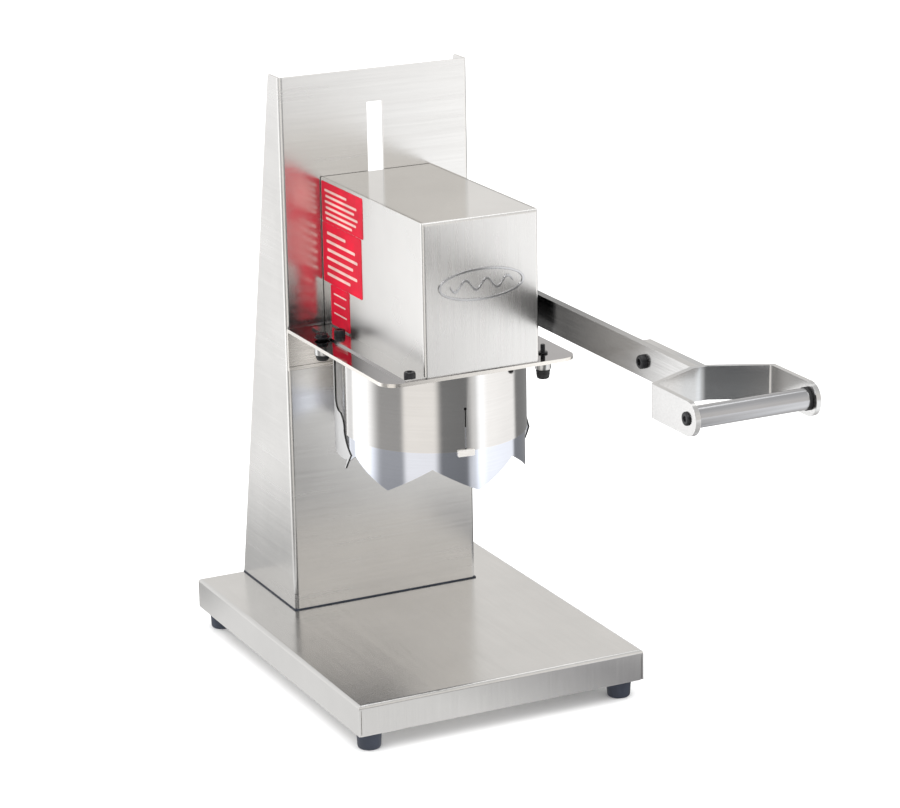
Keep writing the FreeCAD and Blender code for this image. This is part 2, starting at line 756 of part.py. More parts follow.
def clamp_bar():
    bar = box(-38, 38, bar_front, bar_front + bar_thick, stud_z - 24, stud_z + 24)
    bar = bar.makeFillet(6, edges_where(bar, lambda e: is_line_along(e, Y_AXIS)))
    return bar.cut(rod(stud_radius + 0.05, V(0, 0, stud_z), V(0, 20, stud_z)))


def clamp_washer():
    return tube(11, stud_radius + 0.25, V(0, washer_front, stud_z), V(0, washer_front + washer_thick, stud_z))


def knob_insert():
    """Brass insert that runs on the stud."""
    end = V(0, knob_start + 20, stud_z)
    return tube(8, stud_radius + running_gap, V(0, knob_start, stud_z), end)


def clamp_knob():
    """Five-lobed hand knob moulded round its insert."""
    start = knob_start
    neck = cone(12, 14, V(0, start, stud_z), V(0, start + 8, stud_z))
    disc = rod(knob_radius, V(0, start + 8, stud_z), V(0, start + 24, stud_z))
    disc = disc.makeFillet(3.0, disc.Edges[0:1] + disc.Edges[2:3])
    lobes = 5
    for i in range(lobes):
        angle = 2 * math.pi * (i + 0.5) / lobes
        at = V(math.cos(angle) * (knob_radius + 5), 0, stud_z + math.sin(angle) * (knob_radius + 5))
        disc = disc.cut(rod(10.5, at + V(0, start, 0), at + V(0, start + 30, 0)))
    body = joined(neck, disc)
    return body.cut(rod(8, V(0, start - 1, stud_z), V(0, start + 20, stud_z))).cut(
        rod(stud_radius + 1, V(0, start, stud_z), V(0, start + 30, stud_z)))


# ---------------------------------------------------------------- pinion and shaft
def involute(base_radius, radius):
    """Angle and radius of the involute point at that radius."""
    roll = math.sqrt((radius / base_radius) ** 2 - 1)
    return roll - math.atan(roll)


def pinion():
    """Spur pinion with a tooth space facing the rack."""
    base_radius = pitch_radius * math.cos(pressure_angle)
    tip, root = pitch_radius + module, pitch_radius - 1.25 * module
    pitch_roll = involute(base_radius, pitch_radius)
    half_tooth = math.pi / (2 * pinion_teeth) - backlash / (2 * pitch_radius)
    low = max(base_radius, root) + 0.02
    radii = [low + (tip - low) * i / 3 for i in range(4)]

    def at(radius, angle):
        return V(-pinion_half, radius * math.cos(angle), radius * math.sin(angle))

    edges = []
    step = 2 * math.pi / pinion_teeth
    ends = []
    for i in range(pinion_teeth):
        centre = math.pi + step / 2 + i * step
        sides = [half_tooth + pitch_roll - involute(base_radius, r) for r in radii]
        rising = [at(r, centre - s) for r, s in zip(radii, sides)]
        falling = [at(r, centre + s) for r, s in zip(radii, sides)][::-1]
        foot_a, foot_b = at(root, centre - sides[0]), at(root, centre + sides[0])
        if ends:
            edges.append(Part.makeLine(ends[-1], foot_a))
        edges.append(Part.makeLine(foot_a, rising[0]))
        flank = Part.BSplineCurve()
        flank.interpolate(rising)
        edges.append(flank.toShape())
        edges.append(Part.Arc(rising[-1], at(tip, centre), falling[0]).toShape())
        flank = Part.BSplineCurve()
        flank.interpolate(falling)
        edges.append(flank.toShape())
        edges.append(Part.makeLine(falling[-1], foot_b))
        ends.append(foot_b)
    first_foot = edges[0].Vertexes[0].Point
    edges.append(Part.makeLine(ends[-1], first_foot))
    gear = Part.Face(Part.Wire(edges)).extrude(V(2 * pinion_half, 0, 0))
    gear.translate(pivot)
    gear = gear.cut(rod(shaft_radius, pivot - V(30, 0, 0), pivot + V(30, 0, 0)))
    return gear.cut(key_block(3.0, 12.8, 12.0))


def key_block(half_width, top, half_length):
    return box(-half_length, half_length, pivot_y - half_width, pivot_y + half_width,
               pivot_z + 6.5, pivot_z + top)


def pinion_key():
    return key_block(2.98, 12.7, 10.5)


shaft_left = -46.3


def pinion_shaft():
    """Round through the bushes, square where the lever sits."""
    round_part = rod(shaft_radius, pivot + V(shaft_left, 0, 0), pivot + V(lever_inner - 3, 0, 0))
    square = box(lever_inner - 4, lever_outer - 0.3, pivot_y - square_half, pivot_y + square_half,
                 pivot_z - square_half, pivot_z + square_half)
    square = square.common(rod(shaft_radius, pivot, pivot + V(100, 0, 0)))
    shaft = joined(round_part, square)
    groove = tube(shaft_radius + 1, shaft_radius - 1.2, pivot + V(-43.9, 0, 0), pivot + V(-42.4, 0, 0))
    shaft = shaft.cut(groove)
    shaft = shaft.cut(rod(4.0, pivot + V(lever_outer - 22, 0, 0), pivot + V(lever_outer + 1, 0, 0)))
    return shaft.cut(key_block(3.0, 12.8, 10.6))


def shaft_clip():
    """Open ring in the groove at the shaft's left end."""
    ring = tube(13.0, shaft_radius - 1.1, pivot + V(-43.7, 0, 0), pivot + V(-42.6, 0, 0))
    return ring.cut(box(-45, -40, pivot_y - 4, pivot_y + 4, pivot_z - 20, pivot_z))


def shaft_spacer():
    start, end = pivot + V(pinion_half + 0.1, 0, 0), pivot + V(frame_inner - 2.1, 0, 0)
    return tube(14.0, shaft_radius + 0.02, start, end)


# ---------------------------------------------------------------- lever and grip
def lever_bar():
    """Flat bar on edge with a round eye that fits the shaft's square."""
    half = lever_height / 2
    bar = box(lever_inner, lever_outer, -lever_end_ahead, pivot_y, pivot_z - half, pivot_z + half)
    eye = rod(eye_radius, pivot + V(lever_inner, 0, 0), pivot + V(lever_outer, 0, 0))
    bar = joined(bar, eye)
    bar = bar.cut(shaft_square(square_half + 0.02))
    bolt = V(0, -fork_bolt_ahead, pivot_z)
    return bar.cut(rod(3.05, bolt + V(lever_inner - 5, 0, 0), bolt + V(lever_outer + 5, 0, 0)))


def shaft_square(half):
    square = box(lever_inner - 10, lever_outer + 10, pivot_y - half, pivot_y + half,
                 pivot_z - half, pivot_z + half)
    return square.common(rod(shaft_radius + 0.02, pivot, pivot + V(100, 0, 0)))


def lever_hub():
    """Spacer collar between the bush and the lever's eye."""
    return tube(14.0, shaft_radius + 0.02, pivot + V(frame_inner + frame_thick + 0.2, 0, 0),
                pivot + V(lever_inner - 3.2, 0, 0)).fuse(
        tube(17.0, shaft_radius + 0.02, pivot + V(lever_inner - 3.2, 0, 0), pivot + V(lever_inner, 0, 0))
    ).removeSplitter()


def hub_washer():
    return tube(14.0, 4.1, pivot + V(lever_outer, 0, 0), pivot + V(lever_outer + 2.5, 0, 0))


def hub_screw():
    start = pivot + V(lever_outer + 2.5, 0, 0)
    head = hexagon(13, 5.5, start, X_AXIS)
    return joined(head, rod(3.95, start - V(22, 0, 0), start + V(1, 0, 0)))


def handle_fork():
    """One bent strip, with the stem plate welded behind its middle."""
    half = lever_height / 2
    centre = lever_outer
    rear = -lever_end_ahead
    t = fork_sheet
    corner = -fork_corner_ahead
    tip = -grip_ahead
    wide = fork_width / 2
    run, fall = wide - fork_flat / 2, -rear + corner
    tilt = math.atan2(-fall, run)
    shift = t * (1 - math.sin(tilt)) / math.cos(tilt)
    side = [(fork_flat / 2, rear), (wide, corner), (wide, tip), (wide - t, tip),
            (wide - t, corner - shift), (fork_flat / 2 - t * math.tan(tilt / 2), rear - t)]
    right = [V(centre + x, y, pivot_z - half) for x, y in side]
    left = [V(centre - x, y, pivot_z - half) for x, y in reversed(side)]
    strip = prism(right + left, V(0, 0, lever_height))
    soft = edges_where(strip, lambda e: is_line_along(e, Z_AXIS) and abs(middle(e).y - corner) < 6)
    strip = strip.makeFillet(3.0, soft)
    for sx in (-1, 1):
        x1 = centre + sx * wide
        x0 = x1 - sx * t
        strip = strip.fuse(rod(half, V(x0, tip, pivot_z), V(x1, tip, pivot_z)))
    strip = strip.cut(box(centre - wide - 1, centre + wide + 1, tip - half - 1, tip, pivot_z + half - 0.001,
                          pivot_z + half + 1))
    stem = box(lever_outer, lever_outer + lever_thick, rear - 1, -stem_start_ahead,
               pivot_z - half, pivot_z + half)
    fork = joined(strip, stem)
    bolt = V(0, -fork_bolt_ahead, pivot_z)
    fork = fork.cut(rod(3.05, bolt + V(lever_outer - 1, 0, 0), bolt + V(lever_outer + 10, 0, 0)))
    grip = V(0, tip, pivot_z)
    return fork.cut(rod(3.05, grip + V(centre - wide - 1, 0, 0), grip + V(centre + wide + 1, 0, 0)))


def fork_bolt():
    seat = V(lever_inner, -fork_bolt_ahead, pivot_z)
    bolt = cap_screw(seat, X_AXIS, 3.0, 19.0, 5.3, 4.2, 5.0)
    rim = edges_where(bolt, lambda e: isinstance(e.Curve, Part.Circle) and abs(e.Curve.Radius - 5.3) < 0.01
                      and middle(e).x < lever_inner - 4)
    return bolt.makeFillet(1.2, rim)


def fork_nut():
    start = V(lever_outer + lever_thick, -fork_bolt_ahead, pivot_z)
    washer = rod(6.2, start, start + V(1.5, 0, 0))
    nut = hexagon(10, 5.0, start + V(1.5, 0, 0), X_AXIS)
    return joined(washer, nut).cut(rod(3.05, start - V(1, 0, 0), start + V(8, 0, 0)))


def grip_tube():
    inner = fork_width / 2 - fork_sheet
    start, end = V(lever_outer - inner, -grip_ahead, pivot_z), V(lever_outer + inner, -grip_ahead, pivot_z)
    return tube(grip_radius, 3.0, start, end)


def grip_screws():
    """Black dome-headed screws that hold the grip between the fork's ears."""
    screws = []
    for side in (-1, 1):
        seat = V(lever_outer + side * fork_width / 2, -grip_ahead, pivot_z)
        axis = V(-side, 0, 0)
        screw = cap_screw(seat, axis, 2.95, 22, 5.0, 1.8, 4.0)
        rim = edges_where(screw, lambda e: isinstance(e.Curve, Part.Circle)
                          and abs(e.Curve.Radius - 5.0) < 0.01
                          and abs(middle(e).x - lever_outer) > fork_width / 2 + 1)
        screws.append(screw.makeFillet(1.0, rim))
    return screws


# ---------------------------------------------------------------- ram and knife
boss_top = 245.4
ram_top = guide_top + 0.2


def ram_rack():
    """Square bar with rack teeth on its rear face. A tooth meets the pinion's axis height."""
    front, rear = -punch_ahead - ram_half, -punch_ahead + ram_half
    bar = box(-ram_half, ram_half, front, rear, boss_top, ram_top)
    pitch = math.pi * module
    slope = math.tan(pressure_angle)
    pitch_y = rear - module
    half_space = pitch / 4 + backlash / 2
    deep = 1.25 * module
    for i in range(-5, 2):
        z = pivot_z + (i + 0.5) * pitch
        outer, inner = half_space + (module + 0.5) * slope, half_space - deep * slope
        points = [V(-ram_half - 1, rear + 0.5, z - outer), V(-ram_half - 1, rear + 0.5, z + outer),
                  V(-ram_half - 1, pitch_y - deep, z + inner), V(-ram_half - 1, pitch_y - deep, z - inner)]
        bar = bar.cut(prism(points, V(2 * ram_half + 2, 0, 0)))
    bar = bar.cut(rod(2.5, punch_axis + V(0, 0, ram_top - 14), punch_axis + V(0, 0, ram_top + 1)))
    return bar.cut(rod(5.0, punch_axis + V(0, 0, boss_top - 1), punch_axis + V(0, 0, boss_top + 24)))


def ram_stop():
    """Cap that lands on the guide block and ends the downward stroke."""
    cap = box(-20, 20, -punch_ahead - 16, -punch_ahead + 10, ram_top, ram_top + 7)
    cap = cap.makeFillet(3, edges_where(cap, lambda e: is_line_along(e, Z_AXIS)))
    return cap.cut(rod(2.5, punch_axis + V(0, 0, ram_top - 1), punch_axis + V(0, 0, ram_top + 9)))


def ram_stop_screw():
    return cap_screw(punch_axis + V(0, 0, ram_top + 7), V(0, 0, -1), 2.5, 20, 4.5, 3.0, 4.0)


carrier_low = 227.4


def knife_carrier():
    """Disc inside the knife's upper edge, with a boss for the ram and four openings."""
    disc_radius = knife_radius - knife_sheet
    disc = rod(disc_radius, punch_axis + V(0, 0, carrier_low), punch_axis + V(0, 0, knife_top))
    boss = rod(22, punch_axis + V(0, 0, carrier_low), punch_axis + V(0, 0, boss_top))
    boss = boss.makeChamfer(1.5, edges_where(boss, lambda e: e.BoundBox.ZMin > boss_top - 0.1))
    carrier = joined(disc, boss)
    for i in range(4):
        at = on_circle(45, 45 + 90 * i, 0)
        carrier = carrier.cut(rod(14, at + V(0, 0, carrier_low - 1), at + V(0, 0, knife_top + 1)))
    for degrees in knife_screw_angles():
        out = on_circle(disc_radius + 1, degrees, knife_screw_z)
        into = on_circle(disc_radius - 12, degrees, knife_screw_z)
        carrier = carrier.cut(rod(2.0, into, out))
    return carrier.cut(rod(5.05, punch_axis + V(0, 0, carrier_low - 1), punch_axis + V(0, 0, boss_top + 1)))


def carrier_bolt():
    seat = punch_axis + V(0, 0, carrier_low)
    washer = rod(13, seat - V(0, 0, 2), seat)
    head = hexagon(17, 6.5, seat - V(0, 0, 8.5), Z_AXIS)
    shank = rod(4.98, seat - V(0, 0, 3), seat + V(0, 0, boss_top - carrier_low + 22))
    return joined(washer, head, shank)


knife_screw_z = 232.4


def knife_screw_angles():
    return [first_valley_deg + 30 + 60 * i for i in range(6)]


def crown_knife():
    """Ring ground to six points, sharpened from the inside."""
    outer, inner = knife_radius, knife_radius - knife_sheet
    ring = tube(outer, inner, punch_axis + V(0, 0, knife_tip - 5), punch_axis + V(0, 0, knife_top))
    edge, ground = 0.5, 26.0
    bevel = cone(outer - edge + 0.4, inner, punch_axis + V(0, 0, knife_tip - 5),
                 punch_axis + V(0, 0, knife_tip + ground))
    ring = ring.cut(bevel)
    half_step = math.pi / tooth_count
    reach = outer * math.sin(half_step)
    rise = knife_valley - knife_tip
    drop = 12.0
    wide = reach * (rise + drop) / rise
    for i in range(tooth_count):
        notch = prism([V(40, 0, knife_valley), V(40, wide, knife_tip - drop), V(40, -wide, knife_tip - drop)],
                      V(60, 0, 0))
        notch.rotate(V(0, 0, 0), Z_AXIS, first_valley_deg + 60 * i)
        notch.translate(punch_axis)
        ring = ring.cut(notch)
    for degrees in knife_screw_angles():
        rim = on_circle(outer, degrees, knife_screw_z)
        deep = on_circle(inner - 1, degrees, knife_screw_z)
        seat = on_circle(outer - 1.9, degrees, knife_screw_z)
        ring = ring.cut(rod(2.05, deep, rim)).cut(cone(3.95, 2.05, rim, seat))
    return ring


def knife_screws():
    screws = []
    for degrees in knife_screw_angles():
        head = on_circle(knife_radius - 0.1, degrees, knife_screw_z)
        inward = (punch_axis + V(0, 0, knife_screw_z) - head).normalize()
        screws.append(flat_screw(head, inward, 2.0, 12, 3.85))
    return screws


# ---------------------------------------------------------------- export
def build():
    feet = {name: foot(x, y) for name, (x, y) in foot_places().items()}
    return {
        "base_pan": base_pan(), "foot_plates": foot_plates(), **feet, "foot_screws": foot_screws(),
        "column": column(), "column_gasket": column_gasket(), "column_bolts": column_bolts(),
        "head_plate": head_plate(), "back_plate": back_plate(),
        "slide_key": slide_key(), "key_screws": key_screws(), "side_frame_right": side_frame(),
        "side_frame_left": mirrored(side_frame()), "frame_screws": frame_screws(),
        "bushing_right": bushing(), "bushing_left": mirrored(bushing()), "ram_guide": ram_guide(),
        "guide_bolts": guide_bolts(), "guide_keeper": guide_keeper(),
        "punch_sleeve": punch_sleeve(), "sleeve_strap": sleeve_strap(), "ear_studs": ear_studs(),
        "ear_nuts": ear_nuts(), "ear_caps": ear_caps(), "ear_lock_nut": ear_lock_nut(),
        "can_guide": can_guide(), "can_guide_screws": can_guide_screws(), "cover": cover(),
        "cover_screws": cover_screws(), "side_labels": side_labels(), "front_badge": front_badge(),
        "clamp_stud": clamp_stud(), "clamp_bar": clamp_bar(), "clamp_washer": clamp_washer(),
        "clamp_knob": clamp_knob(), "knob_insert": knob_insert(), "pinion_shaft": pinion_shaft(),
        "pinion": pinion(), "pinion_key": pinion_key(),
        "shaft_spacers": [shaft_spacer(), mirrored(shaft_spacer())], "shaft_clip": shaft_clip(),
        "lever_bar": lever_bar(), "lever_hub": lever_hub(), "hub_washer": hub_washer(),
        "hub_screw": hub_screw(), "handle_fork": handle_fork(), "fork_bolt": fork_bolt(),
        "fork_nut": fork_nut(), "grip_tube": grip_tube(), "grip_screws": grip_screws(),
        "ram_rack": ram_rack(), "ram_stop": ram_stop(), "ram_stop_screw": ram_stop_screw(),
        "knife_carrier": knife_carrier(), "carrier_bolt": carrier_bolt(),
        "crown_knife": crown_knife(), "knife_screws": knife_screws(),
    }


def main():
    os.makedirs("parts", exist_ok=True)
    nodes = build()
    for name, shape in nodes.items():
        if isinstance(shape, list):
            shape = Part.makeCompound(shape)
        shape.translate(V(0, column_face_y, 0))
        if not shape.isValid() or not shape.Solids:
            print("bad shape:", name)
        shape.exportStep("parts/" + name + ".step")
    print(len(nodes), "nodes; column face at y =", round(column_face_y, 3))
    print("pivot", [round(v, 3) for v in pivot + V(0, column_face_y, 0)])


main()
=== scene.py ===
"""Looks for a bench-top crown punch can opener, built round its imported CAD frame. Metres, +Z up."""

import math

import bmesh
import bpy
from mathutils import Matrix, Vector


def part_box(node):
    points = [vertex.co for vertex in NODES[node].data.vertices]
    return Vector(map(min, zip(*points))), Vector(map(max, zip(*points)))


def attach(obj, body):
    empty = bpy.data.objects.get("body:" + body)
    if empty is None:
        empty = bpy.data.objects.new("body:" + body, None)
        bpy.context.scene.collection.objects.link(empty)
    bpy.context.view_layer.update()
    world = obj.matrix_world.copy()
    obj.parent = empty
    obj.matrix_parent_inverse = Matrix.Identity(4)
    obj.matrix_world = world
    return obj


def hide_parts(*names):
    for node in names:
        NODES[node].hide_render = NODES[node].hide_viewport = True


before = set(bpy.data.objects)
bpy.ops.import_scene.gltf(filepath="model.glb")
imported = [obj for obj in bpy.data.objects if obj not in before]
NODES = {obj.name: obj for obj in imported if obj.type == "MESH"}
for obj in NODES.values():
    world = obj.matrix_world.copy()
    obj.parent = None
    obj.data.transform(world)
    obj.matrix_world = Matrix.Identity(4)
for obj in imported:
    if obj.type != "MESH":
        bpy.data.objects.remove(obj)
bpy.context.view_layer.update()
MM = 0.001
KNIFE_LOW, KNIFE_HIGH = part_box("crown_knife")
HEAD_AXIS_Y = (KNIFE_LOW.y + KNIFE_HIGH.y) / 2
PLATE_LOW, PLATE_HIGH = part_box("head_plate")
PLATE_TOP = PLATE_HIGH.z
BAR_LOW, BAR_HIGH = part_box("lever_bar")
BAR_MIDDLE_Z = (BAR_LOW.z + BAR_HIGH.z) / 2
THREAD_PITCH = 0.001


# ---------------------------------------------------------------- node helpers
class Shader:
    """A small wrapper that builds one material's node tree."""

    def __init__(self, name, **values):
        self.material = bpy.data.materials.new(name)
        self.material.use_nodes = True
        self.tree = self.material.node_tree
        self.bsdf = self.tree.nodes["Principled BSDF"]
        for key, value in values.items():
            self.bsdf.inputs[key.replace("_", " ")].default_value = value
        self.place = self.add("ShaderNodeTexCoord").outputs["Object"]

    def add(self, kind, **settings):
        node = self.tree.nodes.new(kind)
        for key, value in settings.items():
            setattr(node, key, value)
        return node

    def link(self, source, node, socket):
        self.tree.links.new(source, node.inputs[socket])

    def noise(self, scale, detail=3.0, rough=0.5, stretch=(1, 1, 1)):
        """Noise in object space; stretch multiplies the frequency along each axis."""
        mapping = self.add("ShaderNodeMapping")
        mapping.inputs["Scale"].default_value = stretch
        self.link(self.place, mapping, "Vector")
        node = self.add("ShaderNodeTexNoise")
        node.inputs["Scale"].default_value = scale
        node.inputs["Detail"].default_value = detail
        node.inputs["Roughness"].default_value = rough
        self.link(mapping.outputs["Vector"], node, "Vector")
        return node.outputs["Fac"]

    def remap(self, value, low, high, start=0.3, end=0.7):
        node = self.add("ShaderNodeMapRange")
        node.inputs["From Min"].default_value = start
        node.inputs["From Max"].default_value = end
        node.inputs["To Min"].default_value = low
        node.inputs["To Max"].default_value = high
        self.link(value, node, "Value")
        return node.outputs["Result"]

    def math(self, operation, first, second, clamp=False):
        node = self.add("ShaderNodeMath", operation=operation, use_clamp=clamp)
        for i, value in enumerate((first, second)):
            if isinstance(value, (int, float)):
                node.inputs[i].default_value = value
            else:
                self.tree.links.new(value, node.inputs[i])
        return node.outputs["Value"]

    def mix(self, factor, first, second):
        node = self.add("ShaderNodeMix", data_type="RGBA")
        for socket, value in ((0, factor), (6, first), (7, second)):
            if isinstance(value, (int, float)):
                node.inputs[socket].default_value = value
            elif isinstance(value, tuple):
                node.inputs[socket].default_value = (*value, 1.0)
            else:
                self.tree.links.new(value, node.inputs[socket])
        return node.outputs[2]

    def bump(self, height, strength, distance):
        node = self.add("ShaderNodeBump")
        node.inputs["Strength"].default_value = strength
        node.inputs["Distance"].default_value = distance
        self.link(height, node, "Height")
        self.link(node.outputs["Normal"], self.bsdf, "Normal")

    def edge(self, radius, low=0.02, high=0.25):
        """1 on edges sharper than the radius, 0 on flat faces."""
        bevel = self.add("ShaderNodeBevel", samples=4)
        bevel.inputs["Radius"].default_value = radius
        geometry = self.add("ShaderNodeNewGeometry")
        dot = self.add("ShaderNodeVectorMath", operation="DOT_PRODUCT")
        self.link(bevel.outputs["Normal"], dot, 0)
        self.link(geometry.outputs["Normal"], dot, 1)
        return self.remap(self.math("SUBTRACT", 1.0, dot.outputs["Value"]), 0.0, 1.0, low, high)


# Frequency of the brushed lines along each axis: the slow axes are the ones that the lines follow.
GRAIN = {"x": (0.02, 1, 1), "y": (1, 0.02, 1), "z": (1, 1, 0.02), "round": (0.02, 0.02, 1),
         "xy": (0.02, 0.02, 1), "yz": (1, 0.02, 0.03)}


def steel(name, colour, rough, grain="x", spread=0.04, line=0.16, blotch=0.04, streak=0.2, edge_gain=0.25,
          metallic=1.0, glance=0.0):
    """Brushed or polished steel: fine lines, faint smears, and edges in a lighter tone, partly wear and
    partly a painted highlight; glance is how much roughness a satin face loses when it is seen at a low
    angle."""
    s = Shader(name, Metallic=metallic)
    lines = s.noise(900.0, 2.0, 0.6, GRAIN[grain])
    coarse = s.noise(220.0, 3.0, 0.6, GRAIN[grain])
    smear = s.noise(14.0, 4.0, 0.55)
    dark = tuple(c * (1 - blotch) for c in colour)
    light = tuple(min(1.0, c * (1 + blotch)) for c in colour)
    base = s.mix(s.remap(smear, 0, 1), dark, light)
    base = s.mix(s.remap(lines, 0, streak), base, tuple(c * 0.82 for c in colour))
    # Edges take a lighter tone: wear plus a painted highlight; a negative edge_gain darkens them instead.
    bright = tuple(min(1.0, c * (1 + edge_gain)) for c in colour)
    base = s.mix(s.edge(0.0007), base, bright)
    s.link(base, s.bsdf, "Base Color")
    wear = s.math("ADD", s.remap(coarse, -spread, spread), s.remap(smear, -spread / 2, spread / 2))
    gloss = s.math("ADD", wear, rough)
    if glance:
        facing = s.add("ShaderNodeLayerWeight").outputs["Facing"]
        gloss = s.math("SUBTRACT", gloss, s.remap(facing, 0, glance, 0.60, 0.72))
    s.link(gloss, s.bsdf, "Roughness")
    s.bump(s.math("ADD", lines, coarse), line, 0.00002)
    return s.material


def painted_shade_steel(name, colour, rough, grain, shade, reach, edge=(0.78, 0.78, 0.78), sides=None):
    """Steel with painted shade, darker towards a point; reach is (centre, inner, outer).
    With sides, only the faces that look up are so, and the rest are satin in that colour."""
    centre, inner, outer = reach
    s = Shader(name, Metallic=1.0)
    lines = s.noise(900.0, 2.0, 0.6, GRAIN[grain])
    smear = s.noise(14.0, 4.0, 0.55)
    away = s.add("ShaderNodeVectorMath", operation="DISTANCE")
    s.link(s.place, away, 0)
    away.inputs[1].default_value = centre
    painted_shade_mask = s.remap(s.math("ADD", away.outputs["Value"], s.remap(smear, -0.004, 0.004)), 1, 0, inner, outer)
    base = s.mix(s.remap(smear, 0, 1), tuple(c * 0.95 for c in colour), tuple(c * 1.05 for c in colour))
    # Painted shade: the colour goes to the shade colour near the centre.
    base = s.mix(painted_shade_mask, base, shade)
    base = s.mix(s.remap(lines, 0, 0.2), base, tuple(c * 0.7 for c in colour))
    # Edges take the edge colour: a painted highlight plus edge wear.
    base = s.mix(s.edge(0.0007), base, edge)
    gloss = s.math("ADD", s.remap(lines, -0.04, 0.04), rough)
    if sides:
        split = s.add("ShaderNodeSeparateXYZ")
        s.link(s.add("ShaderNodeTexCoord").outputs["Normal"], split, "Vector")
        side = s.remap(split.outputs["Z"], 1, 0, 0.4, 0.8)
        base = s.mix(side, base, sides)
        gloss = s.math("ADD", gloss, s.remap(side, 0, 0.2, 0, 1))
    s.link(base, s.bsdf, "Base Color")
    s.link(gloss, s.bsdf, "Roughness")
    s.bump(lines, 0.16, 0.00002)
    return s.material


def guide_steel():
    """Bead-blasted outside; the inside face carries painted light, much brighter than the outside, and the
    cut edges a near-black painted shadow.
    """
    s = Shader("guide_stainless")
    axis = s.add("ShaderNodeVectorMath", operation="SUBTRACT")
    s.link(s.place, axis, 0)
    axis.inputs[1].default_value = (0, HEAD_AXIS_Y, 0)
    flat = s.add("ShaderNodeVectorMath", operation="MULTIPLY")
    s.link(axis.outputs["Vector"], flat, 0)
    flat.inputs[1].default_value = (1, 1, 0)
    away = s.add("ShaderNodeVectorMath", operation="LENGTH")
    s.link(flat.outputs["Vector"], away, 0)
    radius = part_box("can_guide")[1].x
    inside = s.remap(away.outputs["Value"], 1, 0, radius - 0.0012, radius - 0.0006)
    smear = s.noise(30.0, 4.0, 0.55)
    fine = s.noise(1600.0, 2.0, 0.6)
    outer = s.mix(s.remap(smear, 0, 1), (0.50, 0.50, 0.50), (0.58, 0.58, 0.58))
    # Painted light: the inside face is made far lighter than the steel is, so that it and the drum that
    # mirrors it stay bright in the narrow gap.
    inner = s.mix(s.remap(smear, 0, 1), (0.92, 0.92, 0.92), (0.97, 0.97, 0.97))
    face = s.mix(inside, outer, inner)
    outward = s.add("ShaderNodeVectorMath", operation="NORMALIZE")
    s.link(flat.outputs["Vector"], outward, 0)
    turn = s.add("ShaderNodeVectorMath", operation="DOT_PRODUCT")
    s.link(outward.outputs["Vector"], turn, 0)
    s.link(s.add("ShaderNodeTexCoord").outputs["Normal"], turn, 1)
    # Painted shadow: the cut edges go near black, standing in for the shade in the gap between guide and
    # drum.
    cut_edge_shadow = s.remap(s.math("ABSOLUTE", turn.outputs["Value"], 0), 1, 0, 0.45, 0.6)
    s.link(s.mix(cut_edge_shadow, face, (0.03, 0.03, 0.03)), s.bsdf, "Base Color")
    s.link(s.remap(inside, 0.75, 0.10, 0, 1), s.bsdf, "Metallic")
    s.link(s.math("ADD", s.remap(fine, -0.04, 0.04), 0.40), s.bsdf, "Roughness")
    s.bump(fine, 0.12, 0.00002)
    return s.material


def coated(name, colour, rough, grain=350.0, relief=0.3, depth=0.00005, worn=(0.25, 0.25, 0.26), wear=0.3,
           **values):
    """Rubber, plastic or black oxide: fine pebbling, faint mottling, and rubbed edges."""
    s = Shader(name, **values)
    fine = s.noise(grain * 4, 2.0, 0.5)
    mottle = s.noise(45.0, 4.0, 0.6)
    dark = tuple(c * 0.8 for c in colour)
    light = tuple(min(1, c * 1.25) for c in colour)
    base = s.mix(s.remap(mottle, 0, 1), dark, light)
    rubbed = s.math("MULTIPLY", s.edge(0.0005), s.remap(fine, 0, wear))
    s.link(s.mix(rubbed, base, worn), s.bsdf, "Base Color")
    s.link(s.math("ADD", s.remap(mottle, -0.06, 0.06), rough), s.bsdf, "Roughness")
    s.bump(fine, relief, depth)
    return s.material


STAINLESS = (0.70, 0.69, 0.675)
